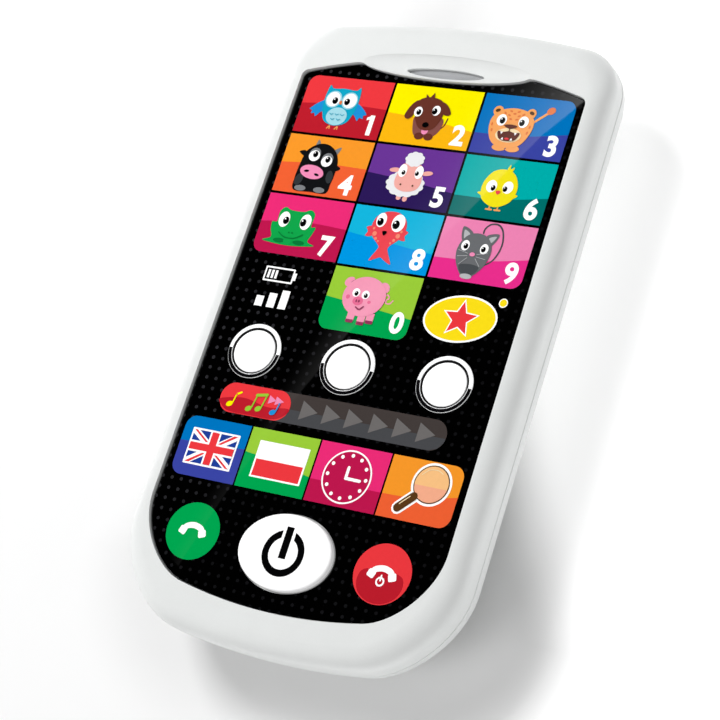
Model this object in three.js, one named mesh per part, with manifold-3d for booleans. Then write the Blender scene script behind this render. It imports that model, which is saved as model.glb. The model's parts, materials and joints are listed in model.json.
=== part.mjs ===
// A toy cell phone lying on its back: a two-part white casing with a glossy printed face
// panel, a push button for power, three light windows, a battery bay with a hinged door,
// a speaker and an off/low/high slide switch on the back.
// Units are millimetres. +X is the phone's right, +Y its earpiece end, +Z out of its face.
// The origin is on the flat back, at the middle of the length and the width.
import * as THREE from 'three';
import { mergeVertices } from 'three/addons/utils/BufferGeometryUtils.js';
import Module from 'manifold-3d';

const wasm = await Module();
wasm.setup();

// ---------------------------------------------------------------- driving dimensions
// casing
const LENGTH = 134;
const HALF_WIDTH = 37.9;
const RIM_Z = 20; // top of the rim round the face
const PART_Z = 13.5; // where the two casings meet
const RIM_ROUND = 4;
const BACK_SWEEP = 22; // how far the back curves in from the widest line
const WALL = 2;
const TAPER = 0.022; // slightly wider at the bottom end
const GAP = 0.25;

// face stack
const FACE_Z = 19.3; // top of the printed panel
const PANEL = 1.4;
const SHEET = 0.4; // touch sheet under the panel
const DECK_Z = 17.3; // top of the deck that carries them
const DECK = 1.7;

// lights, power button, earpiece
const LIGHT_X = 22.1;
const LIGHT_Y = -7.9;
const LENS_R = 4.77;
const RING_R = 6;
const POWER = { y: -46.9, rx: 10.9, ry: 8.2, top: 20.9 };
const DISH = { y: 56.8, rx: 19.8, ry: 2.8 };
const SLOT = { y: 55.75, length: 18, height: 1.7 };

// electronics
const BOARD_Z = 7.6;
const BOARD = 1.6;
const BOARD_TOP = BOARD_Z + BOARD;
const SPEAKER = { y: -37.5, r: 14 };
const SWITCH_Y = -16.5;

// battery bay: two size AAA cells side by side
const CELL = { r: 5.25, length: 44.5, x: 5.7, z: 7.6 };
const BAY = { x: 11.5, y0: -0.9, y1: 47.4, z0: 2.2, z1: 13.1, wall: 1.3 };
const DOOR = { x: 13.6, y0: -9.6, hingeY: 48.4, hingeZ: 1.05, thick: 1.78 };
const DOOR_SCREW_Y = -6;

// casing screws: [x, y] of the two upper and the two lower posts
const POSTS = [
  [-27, 50],
  [27, 50],
  [-25.5, -44.5],
  [25.5, -44.5],
];

// ---------------------------------------------------------------- solids and booleans
function solid(geometry) {
  const bare = geometry.clone();
  for (const name of ['normal', 'uv', 'color']) bare.deleteAttribute(name);
  const merged = mergeVertices(bare, 1e-4);
  const vertProperties = new Float32Array(merged.attributes.position.array);
  const triVerts = new Uint32Array(merged.index.array);
  let made = new wasm.Manifold(new wasm.Mesh({ numProp: 3, vertProperties, triVerts }));
  if (made.volume() < 0) {
    for (let i = 0; i < triVerts.length; i += 3) {
      [triVerts[i + 1], triVerts[i + 2]] = [triVerts[i + 2], triVerts[i + 1]];
    }
    made = new wasm.Manifold(new wasm.Mesh({ numProp: 3, vertProperties, triVerts }));
  }
  return made;
}

const joined = (first, ...rest) => rest.reduce((all, one) => all.add(one), first);
const cut = (first, ...rest) => rest.reduce((left, one) => left.subtract(one), first);

// A block between two corners.
function box(x0, x1, y0, y1, z0, z1) {
  const block = new THREE.BoxGeometry(x1 - x0, y1 - y0, z1 - z0);
  return solid(block.translate((x0 + x1) / 2, (y0 + y1) / 2, (z0 + z1) / 2));
}

// A flat outline raised from z0 to z1.
function prism(points, z0, z1) {
  const shape = new THREE.Shape(points.map(([x, y]) => new THREE.Vector2(x, y)));
  const raised = new THREE.ExtrudeGeometry(shape, { depth: z1 - z0, bevelEnabled: false });
  return solid(raised.translate(0, 0, z0));
}

function ovalPoints(x, y, rx, ry, n = 32) {
  return Array.from({ length: n }, (_, i) => {
    const angle = (2 * Math.PI * i) / n;
    return [x + rx * Math.cos(angle), y + ry * Math.sin(angle)];
  });
}

const oval = (x, y, rx, ry, z0, z1, n) => prism(ovalPoints(x, y, rx, ry, n), z0, z1);
const disc = (x, y, r, z0, z1, n = 16) => oval(x, y, r, r, z0, z1, n);

// A profile of [radius, z] pairs turned about the vertical axis at (x, y).
function turned(profile, x = 0, y = 0, n = 24) {
  const points = profile.map(([r, z]) => new THREE.Vector2(r, z));
  return solid(new THREE.LatheGeometry(points, n).rotateX(Math.PI / 2).translate(x, y, 0));
}

// A skin through closed rings of equal point count, lowest ring first, with flat ends.
function loft(rings) {
  const count = rings[0].length;
  const positions = rings.flat(2);
  const index = [];
  rings.slice(1).forEach((_, level) => {
    for (let i = 0; i < count; i += 1) {
      const a = level * count + i;
      const b = level * count + ((i + 1) % count);
      index.push(a, b, b + count, a, b + count, a + count);
    }
  });
  const ends = [[0, true], [(rings.length - 1) * count, false]];
  for (const [first, isLow] of ends) {
    const centre = positions.length / 3;
    positions.push(0, 0, positions[first * 3 + 2]);
    for (let i = 0; i < count; i += 1) {
      const a = first + i;
      const b = first + ((i + 1) % count);
      index.push(...(isLow ? [centre, b, a] : [centre, a, b]));
    }
  }
  const skin = new THREE.BufferGeometry();
  skin.setAttribute('position', new THREE.Float32BufferAttribute(positions, 3));
  skin.setIndex(index);
  return solid(skin);
}

// A round wire along a smooth curve.
function wire(points, r, steps = 12, sides = 6) {
  const path = new THREE.CatmullRomCurve3(points.map((p) => new THREE.Vector3(...p)));
  const section = new THREE.Shape(
    ovalPoints(0, 0, r, r, sides).map(([x, y]) => new THREE.Vector2(x, y)),
  );
  return solid(new THREE.ExtrudeGeometry(section, { steps, extrudePath: path }));
}

// ---------------------------------------------------------------- outlines
// A rounded rectangle whose ends bow outwards and whose sides taper towards the top.
function outline({ half, top, bottom, rTop, rBottom, bowTop, bowBottom }) {
  const yTop = top - bowTop;
  const yBottom = bowBottom - bottom;
  const points = [];
  const corner = (x, y, r, start, steps) => {
    for (let i = 0; i <= steps; i += 1) {
      const angle = start + (Math.PI / 2) * (i / steps);
      points.push([x + r * Math.cos(angle), y + r * Math.sin(angle)]);
    }
  };
  const line = (steps, x0, y0, x1, y1) => {
    for (let i = 1; i < steps; i += 1) {
      points.push([x0 + ((x1 - x0) * i) / steps, y0 + ((y1 - y0) * i) / steps]);
    }
  };
  corner(half - rTop, yTop - rTop, rTop, 0, 5);
  line(8, half - rTop, yTop, rTop - half, yTop);
  corner(rTop - half, yTop - rTop, rTop, Math.PI / 2, 5);
  line(4, -half, yTop - rTop, -half, yBottom + rBottom);
  corner(rBottom - half, yBottom + rBottom, rBottom, Math.PI, 7);
  line(6, rBottom - half, yBottom, half - rBottom, yBottom);
  corner(half - rBottom, yBottom + rBottom, rBottom, 1.5 * Math.PI, 7);
  line(4, half, yBottom + rBottom, half, yTop - rTop);
  return points.map(([x, y]) => {
    const across = 1 - (x / half) ** 2;
    const bow = y > 0 ? bowTop * across * (y / yTop) ** 4 : -bowBottom * across * (y / yBottom) ** 4;
    return [x * (1 - (TAPER * y * 2) / LENGTH), y + bow];
  });
}

const BODY = outline({
  half: HALF_WIDTH,
  top: LENGTH / 2,
  bottom: LENGTH / 2,
  rTop: 8.5,
  rBottom: 17,
  bowTop: 3,
  bowBottom: 5,
});

// The casing's outline brought in by a distance, at a height.
function ring(inset, z) {
  const sx = (HALF_WIDTH - inset) / HALF_WIDTH;
  const sy = (LENGTH / 2 - inset) / (LENGTH / 2);
  return BODY.map(([x, y]) => [x * sx, y * sy, z]);
}
const band = (inset, z0, z1) => loft([ring(inset, z0), ring(inset, z1)]);

// The window round the printed panel, made smaller all round by inset.
const windowPoints = (inset) => outline({
  half: 33.7 - inset,
  top: 58.2 - inset,
  bottom: 58.9 - inset,
  rTop: 1.2,
  rBottom: 13 - inset,
  bowTop: 5,
  bowBottom: 5.5,
});

// The window is notched at the top by the lens-shaped lip of the earpiece dish.
function faceShape(inset, z0, z1) {
  const lip = oval(0, DISH.y, DISH.rx + inset, DISH.ry + inset, z0 - 1, z1 + 1, 40);
  return cut(prism(windowPoints(inset), z0, z1), lip);
}

// ---------------------------------------------------------------- the casing's hull
const steps = (n) => Array.from({ length: n + 1 }, (_, i) => i / n);
const backRings = (inset, floor) => steps(5).map((t) => {
  const angle = ((1 - t) * Math.PI) / 2;
  return ring(
    inset + BACK_SWEEP * (1 - Math.cos(angle)),
    floor + (PART_Z - floor) * (1 - Math.sin(angle)),
  );
});
const rimRings = steps(4).map((t) => {
  const angle = (t * Math.PI) / 2;
  return ring(RIM_ROUND * (1 - Math.cos(angle)), RIM_Z - RIM_ROUND * (1 - Math.sin(angle)));
});

const frontHull = loft([ring(0, PART_Z), ...rimRings]);
const backHull = loft(backRings(0, 0));
const backHollow = loft([...backRings(WALL, WALL), ring(WALL, PART_Z + 1)]);

// ---------------------------------------------------------------- pieces
const group = new THREE.Group();

function piece(name, shape, color, roughness = 0.45, metalness = 0) {
  const { numProp, vertProperties, triVerts } = shape.getMesh();
  const positions = new Float32Array((vertProperties.length / numProp) * 3);
  for (let i = 0; i < positions.length / 3; i += 1) {
    for (let k = 0; k < 3; k += 1) positions[i * 3 + k] = vertProperties[i * numProp + k];
  }
  const geometry = new THREE.BufferGeometry();
  geometry.setAttribute('position', new THREE.BufferAttribute(positions, 3));
  geometry.setIndex(new THREE.BufferAttribute(new Uint32Array(triVerts), 1));
  geometry.computeVertexNormals();
  const material = new THREE.MeshStandardMaterial({ color, roughness, metalness });
  const mesh = new THREE.Mesh(geometry, material);
  mesh.name = name;
  group.add(mesh);
}

const WHITE = 0xeeeff0;
const BLACK = 0x0b0b0d;
const STEEL = 0xb9bcc0;
const lights = [['left', -LIGHT_X], ['middle', 0], ['right', LIGHT_X]];
const deckLow = DECK_Z - DECK;

// front casing: rim, hood with the earpiece dish, deck with its openings, screw bosses
{
  const hollow = band(WALL + 0.35, PART_Z - 1, deckLow);
  const dish = new THREE.SphereGeometry(1, 32, 12);
  dish.scale(DISH.rx + 0.35, DISH.ry + 0.05, 1.6).translate(0, DISH.y, RIM_Z + 0.3);
  const half = SLOT.length / 2;
  const slot = oval(0, SLOT.y, half, SLOT.height / 2, deckLow - 1, RIM_Z + 1, 24);
  const openings = lights.map(([, x]) => disc(x, LIGHT_Y, LENS_R + GAP, deckLow - 1, 18, 20));
  const button = oval(0, POWER.y, POWER.rx + 0.4, POWER.ry + 0.4, deckLow - 1, 18);
  const tail = box(-5.8, 5.8, -34.6, -33.2, deckLow - 1, 18);
  const bosses = POSTS.map(([x, y]) => disc(x, y, 3.2, PART_Z - 0.4, deckLow + 0.5, 14));
  const pilots = POSTS.map(([x, y]) => disc(x, y, 1.4, PART_Z - 2, DECK_Z - 0.6, 10));
  const shell = cut(frontHull, hollow, faceShape(0, DECK_Z, RIM_Z + 1), solid(dish), slot);
  piece(
    'front_casing',
    cut(joined(shell, ...bosses), ...openings, button, tail, ...pilots),
    WHITE,
    0.4,
  );
}

// rear casing: shell, locating lip, screw posts, battery bay, door seat, speaker ring
{
  const lip = cut(band(WALL + 0.5, 11, 15.2), band(WALL + 1.7, 10, 16));
  const posts = POSTS.map(([x, y]) => disc(x, y, 4.2, 0, PART_Z - 0.6));
  const { x, y0, y1, z0, z1, wall } = BAY;
  const bay = box(-x - wall, x + wall, y0 - wall, y1 + wall, 1, z1 + wall);
  const seat = box(-x - 4, x + 4, DOOR.y0 - 2, y1 + 4.6, 1, 3.4);
  const screwCup = disc(0, DOOR_SCREW_Y, 4.2, 1, 7.1);
  const coneRing = cut(
    disc(0, SPEAKER.y, SPEAKER.r + 1.3, 1, 4.6, 32),
    disc(0, SPEAKER.y, SPEAKER.r + 0.25, 0, 5, 32),
  );
  const coneRoom = disc(0, SPEAKER.y, SPEAKER.r + 0.25, WALL, 6, 32);
  const switchPad = box(-9.5, 9.5, SWITCH_Y - 4.6, SWITCH_Y + 4.6, 1, 3.4);
  const inside = joined(bay, seat, screwCup, coneRing, switchPad, ...posts).intersect(backHull);
  const shell = joined(cut(backHull, backHollow), lip, inside);

  const bayRoom = box(-x, x, y0, y1, -1, z1);
  const doorRoom = box(-DOOR.x - GAP, DOOR.x + GAP, DOOR.y0 - GAP, DOOR.hingeY + 1.2, -1, 2.15);
  const hingeSockets = box(-DOOR.x - 1.7, DOOR.x + 1.7, 47.5, 49.3, 0.3, 1.85);
  const cupRoom = disc(0, DOOR_SCREW_Y, 3.2, -1, 3.5);
  const cupPilot = disc(0, DOOR_SCREW_Y, 1.35, 3, 6.4, 12);
  const sinks = POSTS.map(([px, py]) => disc(px, py, 3, -1, 6, 14));
  const shanks = POSTS.map(([px, py]) => disc(px, py, 1.6, 5, 15, 10));
  const knobRoom = box(-6.6, 6.6, SWITCH_Y - 3, SWITCH_Y + 3, -1, 1.65);
  const knobSlot = box(-4.4, 4.4, SWITCH_Y - 1.7, SWITCH_Y + 1.7, 0, 4);
  const wirePass = [-CELL.x, CELL.x].map((wx) => box(wx - 0.8, wx + 0.8, y0 - 2, y0 + 1, 10.6, 12.2));
  const grille = [];
  for (let row = -3; row <= 3; row += 1) {
    for (let column = -4; column <= 4; column += 1) {
      const gx = 2.9 * (column + (row % 2 ? 0.5 : 0));
      const gy = 2.5 * row;
      if (Math.hypot(gx, gy) < 9.4) grille.push(disc(gx, SPEAKER.y + gy, 0.8, -1, 3, 8));
    }
  }
  piece(
    'rear_casing',
    cut(shell, bayRoom, doorRoom, hingeSockets, cupRoom, cupPilot, knobRoom, knobSlot)
      .subtract(joined(coneRoom, ...sinks, ...shanks))
      .subtract(joined(...wirePass))
      .subtract(joined(...grille)),
    WHITE,
    0.42,
  );
}

// face panel and touch sheet
{
  const panelHoles = lights.map(([, x]) => disc(x, LIGHT_Y, RING_R + 0.15, 16, 20, 32));
  const buttonHole = oval(0, POWER.y, POWER.rx + 0.3, POWER.ry + 0.3, 16, 20, 40);
  const panel = faceShape(GAP, FACE_Z - PANEL, FACE_Z);
  piece('face_panel', cut(panel, ...panelHoles, buttonHole), BLACK, 0.12);
  const sheet = faceShape(1.2, DECK_Z + 0.1, DECK_Z + 0.1 + SHEET);
  piece('touch_sheet', cut(sheet, ...panelHoles, buttonHole), 0xc9a86a, 0.5);
}

// earpiece mesh behind the slot in the dish
{
  const half = SLOT.length / 2 - 0.2;
  const strip = oval(0, SLOT.y, half, SLOT.height / 2 - 0.15, deckLow - 0.4, 17.9, 24);
  const flange = box(-half - 1.4, half + 1.4, SLOT.y - 2.2, SLOT.y + 2.2, deckLow - 0.9, deckLow - 0.15);
  piece('earpiece_mesh', joined(strip, flange), 0x8d9095, 0.8);
}

// light windows: a frosted lens under each chrome ring, over a lamp on the board
for (const [side, x] of lights) {
  const lens = [
    [0, 14.5], [5.7, 14.5], [5.7, deckLow - 0.15], [LENS_R, deckLow - 0.15],
    [LENS_R, 19.1], [3.4, 19.4], [0, 19.5],
  ];
  piece(`light_lens_${side}`, turned(lens, x, LIGHT_Y, 28), 0xf7f8fa, 0.3);
  const bezel = [
    [LENS_R + 0.15, DECK_Z + 0.05], [RING_R, DECK_Z + 0.05], [RING_R, FACE_Z],
    [5.6, FACE_Z + 0.4], [5.25, FACE_Z + 0.4], [LENS_R + 0.15, FACE_Z + 0.05],
    [LENS_R + 0.15, DECK_Z + 0.05],
  ];
  piece(`light_ring_${side}`, turned(bezel, x, LIGHT_Y, 28), 0xd8dadd, 0.12, 1);
  const lamp = [
    [0, BOARD_TOP + 0.05], [2.9, BOARD_TOP + 0.05], [2.9, 10.2], [2.5, 10.2], [2.5, 11.9],
    [1.8, 13.6], [0, 14.2],
  ];
  piece(`led_${side}`, turned(lamp, x, LIGHT_Y, 12), 0xf2f0e4, 0.2);
}

// power button: domed oval cap with a flange that stops under the deck
{
  const { y, rx, ry, top } = POWER;
  const level = (inset, z) => ovalPoints(0, 0, rx - inset, ry - inset, 40).map((p) => [...p, z]);
  const cap = loft([level(0, 14.6), level(0, top - 0.9), level(0.35, top - 0.35), level(1.1, top - 0.08), level(4, top)]);
  const flange = oval(0, 0, rx + 1.5, ry + 1.5, 14, deckLow - 0.15, 32);
  const button = joined(cap, flange).translate([0, y, 0]);
  piece('power_button', button, 0xf2f3f4, 0.35);
  const can = cut(
    box(-3, 3, y - 3, y + 3, BOARD_TOP + 0.05, 12.6),
    disc(0, y, 1.8, BOARD_TOP + 0.6, 13),
  );
  piece('tact_switch', can, 0x2a2a2c, 0.5);
  piece('tact_plunger', disc(0, y, 1.5, 11.3, 13.85), 0x1a1a1a, 0.5);
}

// main board, cut round the lower screw posts
{
  const plate = prism(ring(7.5, 0).map(([x, y]) => [x, y]), BOARD_Z, BOARD_TOP)
    .intersect(box(-40, 40, -55.5, -3.2, 0, 20));
  const clear = POSTS.slice(2).map(([x, y]) => disc(x, y, 4.7, 5, 12));
  piece('main_board', cut(plate, ...clear), 0x1f6b3a, 0.5);
  piece('sound_chip', turned([
    [0, BOARD_TOP + 0.05], [4.2, BOARD_TOP + 0.05], [3.6, 10], [2, 10.7], [0, 10.9],
  ], 13, -24, 16), 0x111113, 0.3);
  piece('board_capacitor', disc(-14, -24, 2.5, BOARD_TOP + 0.05, 14.3), 0x23365c, 0.35);
  piece('crystal', box(-22.5, -20.5, -27, -21, BOARD_TOP + 0.05, 11.2), STEEL, 0.25, 1);
  [[20.5, -30], [20.5, -33], [-19, -33]].forEach(([x, y], i) => {
    piece(`resistor_${i + 1}`, box(x - 1.6, x + 1.6, y - 0.8, y + 0.8, BOARD_TOP + 0.05, 9.9), 0x16181c, 0.5);
  });
}

// touch sheet's tail, running down through the deck into its connector
{
  piece('touch_tail', box(-5, 5, -34.05, -33.75, 10.2, DECK_Z), 0xc9a86a, 0.5);
  piece(
    'touch_connector',
    cut(box(-7, 7, -35.4, -32.4, BOARD_TOP + 0.05, 12), box(-5.3, 5.3, -34.35, -33.45, 9.9, 13)),
    0xf0ece0,
    0.5,
  );
}

// speaker: frame, paper cone and magnet, facing the holes in the back
{
  const { y, r } = SPEAKER;
  piece('speaker_frame', turned([
    [11.6, 2.1], [r, 2.1], [r, 3], [8.6, 5.4], [8.6, 5.9], [5.4, 5.9], [5.4, 5.3],
    [7.8, 5.2], [11.6, 2.9], [11.6, 2.1],
  ], 0, y, 28), STEEL, 0.3, 1);
  piece('speaker_cone', turned([
    [0, 3.4], [3.5, 2.9], [4.2, 4.2], [11.3, 2.2], [11.3, 2.45], [6.4, 4.9], [0, 4.9],
  ], 0, y, 24), 0x1c1c1e, 0.9);
  piece('speaker_magnet', turned([
    [0, 5.05], [5.2, 5.05], [5.2, 6.05], [8, 6.05], [8, 7.3], [0, 7.3],
  ], 0, y, 20), 0x8e9196, 0.3, 1);
  piece('speaker_wire_red', wire([[10.9, y - 6, 5.1], [15, y - 7, 5.6], [19, y - 4, 6.4], [21, y, 7.1]], 0.4), 0xc22a20, 0.5);
  piece('speaker_wire_black', wire([[10.9, y + 6, 5.1], [15, y + 7, 5.6], [19, y + 8, 6.4], [21, y + 6, 7.1]], 0.4), 0x17171a, 0.5);
}

// batteries, springs and contact plates
{
  const { r, length, x, z } = CELL;
  const cell = (cx, nubUp, yLow) => {
    const profile = [
      [0, 0], [r - 0.9, 0], [r, 0.4], [r, length - 1.3], [r - 0.6, length - 0.9],
      [1.9, length - 0.9], [1.9, length], [0, length],
    ].map(([pr, pz]) => new THREE.Vector2(pr, pz));
    const body = new THREE.LatheGeometry(profile, 24);
    if (!nubUp) body.rotateX(Math.PI).translate(0, length, 0);
    return solid(body.translate(cx, yLow, z));
  };
  const top = BAY.y1 - 0.45;
  piece('battery_left', cell(-x, true, top - length - 0.05), 0xd98a2b, 0.35, 0.2);
  piece('battery_right', cell(x, false, BAY.y0 + 0.5), 0xd98a2b, 0.35, 0.2);

  const coil = (cx, yFrom, yTo) => {
    const turns = 2.6;
    const points = steps(20).map((t) => {
      const angle = 2 * Math.PI * turns * t;
      const radius = 3.6 - 1.5 * t;
      return [cx + radius * Math.cos(angle), yFrom + (yTo - yFrom) * t, z + radius * Math.sin(angle)];
    });
    return wire(points, 0.3, 28, 5);
  };
  piece('contact_spring_left', coil(-x, BAY.y0 + 0.8, BAY.y0 + 2.6), STEEL, 0.25, 1);
  piece('contact_spring_right', coil(x, BAY.y1 - 0.8, BAY.y1 - 2.7), STEEL, 0.25, 1);
  const plate = (x0, x1, y0) => box(x0, x1, y0, y0 + 0.38, 3.2, 12.6);
  piece('contact_plate_top', plate(-10.8, 10.8, BAY.y1 - 0.42), STEEL, 0.25, 1);
  piece('contact_plate_left', plate(-10.8, -0.7, BAY.y0 + 0.04), STEEL, 0.25, 1);
  piece('contact_plate_right', plate(0.7, 10.8, BAY.y0 + 0.04), STEEL, 0.25, 1);
  const lead = (side) => wire([
    [side * x, BAY.y0 - 0.1, 11.4], [side * (x + 0.3), -3.2, 11.4],
    [side * (x + 3), -5, 10.6], [side * (x + 4), -7.5, 9.75],
  ], 0.4);
  piece('battery_wire_red', lead(1), 0xc22a20, 0.5);
  piece('battery_wire_black', lead(-1), 0x17171a, 0.5);
}

// battery door with a round hinge nose and end pins, and its captive screw
{
  const { x, y0, hingeY, hingeZ, thick } = DOOR;
  const low = hingeZ - thick / 2;
  const high = hingeZ + thick / 2;
  const round = (radius, half, n) => {
    const bar = new THREE.CylinderGeometry(radius, radius, 2 * half, n);
    return solid(bar.rotateZ(Math.PI / 2).translate(0, hingeY, hingeZ));
  };
  const plate = box(-x, x, y0, hingeY, low, high);
  const grip = steps(5).map((t) => box(-4, 4, 38 + 5 * t, 38.5 + 5 * t, low - 1, low + 0.4));
  const boss = disc(0, DOOR_SCREW_Y, 2.85, low + 0.2, 3.2);
  const sink = disc(0, DOOR_SCREW_Y, 2.35, low - 1, 2, 20);
  const hole = disc(0, DOOR_SCREW_Y, 1.25, 1, 4, 12);
  piece(
    'battery_door',
    cut(joined(plate, round(thick / 2, x, 16), round(0.55, x + 1.4, 12), boss), sink, hole, ...grip),
    WHITE,
    0.42,
  );
}

// A screw with its cross-slotted head down: head from z0 to z1, shank up to z2.
function screw(name, x, y, headR, shankR, z0, z1, z2) {
  const profile = [
    [0, z0], [headR * 0.7, z0], [headR, z0 + 0.45], [headR, z1], [shankR, z1],
    [shankR, z2 - 0.8], [0.3, z2], [0, z2],
  ];
  const arm = headR * 0.62;
  const cross = [
    box(x - arm, x + arm, y - 0.3, y + 0.3, z0 - 1, z0 + 0.8),
    box(x - 0.3, x + 0.3, y - arm, y + arm, z0 - 1, z0 + 0.8),
  ];
  piece(name, cut(turned(profile, x, y, 16), ...cross), STEEL, 0.25, 1);
}
screw('battery_door_screw', 0, DOOR_SCREW_Y, 2.1, 1, 0.5, 1.95, 5.2);
POSTS.forEach(([x, y], i) => screw(`casing_screw_${i + 1}`, x, y, 2.6, 1.2, 4, 5.95, 15.8));

// off/low/high switch: can on the board's underside, lever, and the knob in the back
{
  const y = SWITCH_Y;
  const off = -2.4; // the knob rests at the off end of its travel
  const can = box(-5.5, 5.5, y - 2.6, y + 2.6, 4.75, BOARD_Z - 0.05);
  piece('slide_switch_can', cut(can, box(-3.6, 3.6, y - 0.95, y + 0.95, 4, 6)), STEEL, 0.3, 1);
  piece('slide_switch_lever', box(off - 0.6, off + 0.6, y - 0.6, y + 0.6, 2.6, 5.7), 0x1a1a1a, 0.5);
  const grip = box(off - 3.6, off + 3.6, y - 2.6, y + 2.6, 0.3, 1.5);
  const ridges = [-2, -1, 0, 1, 2].map((k) => box(off + k - 0.25, off + k + 0.25, y - 3, y + 3, 0, 0.6));
  const stem = box(off - 1.5, off + 1.5, y - 1.3, y + 1.3, 1, 4.4);
  const socket = box(off - 0.8, off + 0.8, y - 0.8, y + 0.8, 2.4, 5);
  piece('switch_knob', cut(joined(grip, stem), ...ridges, socket), 0x2b2c2f, 0.5);
}

export default group;
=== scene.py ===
# %% [markdown]
# # A toy cell phone
#
# The phone lies on its back: a white two-part casing, a glossy black face printed with number keys
# and animals, three light windows in chrome rings, and one real push button. The solids with the
# right sizes come from the CAD frame. Here each visible one gets a finer shape and its finish.
# Everything is in metres, +X to the phone's right, +Y to its earpiece end, +Z out of its face.

# %% Load the frame
import json
from math import atan2, cos, hypot, pi, radians, sin

import bpy
from mathutils import Matrix, Vector


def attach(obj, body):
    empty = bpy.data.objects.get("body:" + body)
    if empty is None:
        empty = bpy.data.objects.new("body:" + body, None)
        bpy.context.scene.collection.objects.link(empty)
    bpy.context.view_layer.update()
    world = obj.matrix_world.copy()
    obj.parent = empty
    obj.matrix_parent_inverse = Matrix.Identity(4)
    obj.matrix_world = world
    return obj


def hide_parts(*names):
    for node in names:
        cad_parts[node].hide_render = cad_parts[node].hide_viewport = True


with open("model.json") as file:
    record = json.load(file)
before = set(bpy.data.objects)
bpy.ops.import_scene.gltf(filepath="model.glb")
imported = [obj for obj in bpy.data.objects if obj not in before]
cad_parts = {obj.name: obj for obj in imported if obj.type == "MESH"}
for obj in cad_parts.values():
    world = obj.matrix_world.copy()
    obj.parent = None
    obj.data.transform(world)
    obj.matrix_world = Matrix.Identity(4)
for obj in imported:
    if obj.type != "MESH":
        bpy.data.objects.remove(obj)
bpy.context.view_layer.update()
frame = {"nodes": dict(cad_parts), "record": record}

MM = 0.001
stage = bpy.context.scene

# %% [markdown]
# ## Working by hand, in code
#
# Every tool acts on what is selected, so a few helpers select one piece, select faces by place, and
# close a job by making the object sit at the origin with its shape in its mesh.


# %% Helpers for selecting and finishing
def alone(piece):
    """Select this piece only and make it the active one."""
    if bpy.context.object and bpy.context.object.mode == "EDIT":
        bpy.ops.object.mode_set(mode="OBJECT")
    bpy.ops.object.select_all(action="DESELECT")
    piece.select_set(True)
    bpy.context.view_layer.objects.active = piece
    return piece


def add_object(name, data):
    """Put new data into the scene as an object."""
    piece = bpy.data.objects.new(name, data)
    bpy.context.collection.objects.link(piece)
    return piece


def apply_place():
    """Put the place, turn and size of what is selected into its mesh."""
    bpy.ops.object.transform_apply(location=True, rotation=True, scale=True)


def to_mesh(piece):
    """Turn a curve or a text into a mesh."""
    alone(piece)
    bpy.ops.object.convert(target="MESH")
    return bpy.context.object


def primitive(name, add, scale=(1, 1, 1), **settings):
    """Add a ready-made shape by its own operator, name it and give it its size."""
    bpy.ops.object.select_all(action="DESELECT")
    add(**settings)
    piece = bpy.context.object
    piece.name, piece.scale = name, scale
    apply_place()
    return piece


def edit(piece, kind="VERT"):
    """Go into edit mode with everything selected."""
    alone(piece)
    bpy.ops.object.mode_set(mode="EDIT")
    bpy.ops.mesh.select_mode(type=kind)
    bpy.ops.mesh.select_all(action="SELECT")


def settle(piece, angle=30):
    """Put the place into the mesh, point the faces outwards and smooth the soft edges."""
    alone(piece)
    apply_place()
    edit(piece)
    bpy.ops.mesh.remove_doubles(threshold=0.000002)
    bpy.ops.mesh.normals_make_consistent(inside=False)
    bpy.ops.object.mode_set(mode="OBJECT")
    bpy.ops.object.shade_smooth_by_angle(angle=radians(angle))
    return piece


def apply_modifier(piece, kind, **settings):
    alone(piece)
    modifier = piece.modifiers.new(kind.lower(), kind)
    for name, value in settings.items():
        setattr(modifier, name, value)
    bpy.ops.object.modifier_apply(modifier=modifier.name)
    return piece


def cut(piece, tool, operation="DIFFERENCE"):
    """Cut a tool out of a piece, or join it on, and throw the tool away."""
    apply_modifier(piece, "BOOLEAN", operation=operation, object=tool, solver="EXACT")
    bpy.data.objects.remove(tool)
    return piece


def fuse(*parts):
    """Several separate tools as one object, for one cut."""
    alone(parts[0])
    for part in parts:
        part.select_set(True)
    bpy.ops.object.join()
    return parts[0]


# %% Helpers for outlines, in millimetres
def oval(x, y, rx, ry=None, turn=0, n=48):
    ry = rx if ry is None else ry
    c, s = cos(radians(turn)), sin(radians(turn))
    ring = [(rx * cos(2 * pi * i / n), ry * sin(2 * pi * i / n)) for i in range(n)]
    return [(x + u * c - v * s, y + u * s + v * c) for u, v in ring]


def smooth(points, closed=True, fine=8):
    """A soft curve through the points."""
    count = len(points)
    out = []
    for i in range(count if closed else count - 1):
        pick = [(i + k) % count if closed else min(max(i + k, 0), count - 1) for k in (-1, 0, 1, 2)]
        p0, p1, p2, p3 = (Vector(points[k]) for k in pick)
        for step in range(fine):
            t = step / fine
            spot = 0.5 * (2 * p1 + (p2 - p0) * t + (2 * p0 - 5 * p1 + 4 * p2 - p3) * t * t
                          + (3 * p1 - p0 - 3 * p2 + p3) * t ** 3)
            out.append(tuple(spot))
    return out if closed else out + [tuple(points[-1])]


def stroke(points, width, soft=True):
    """A line of even width with round ends, as an outline."""
    spots = [Vector(p) for p in (smooth(points, closed=False, fine=6) if soft else points)]
    along = [(b - a).normalized() for a, b in zip(spots, spots[1:])]
    turns = [along[0]] + [(a + b).normalized() for a, b in zip(along, along[1:])] + [along[-1]]
    half = width / 2
    side = [(p.x - t.y * half, p.y + t.x * half) for p, t in zip(spots, turns)]
    back = [(p.x + t.y * half, p.y - t.x * half) for p, t in zip(spots, turns)]

    def cap(centre, heading):
        start = atan2(heading.y, heading.x) + pi / 2
        return [(centre.x + half * cos(start - pi * i / 6), centre.y + half * sin(start - pi * i / 6))
                for i in range(1, 6)]
    return side + cap(spots[-1], turns[-1]) + back[::-1] + cap(spots[0], -turns[0])


def straight(points, width):
    """A line of even width with sharp bends."""
    return stroke(points, width, soft=False)


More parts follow.
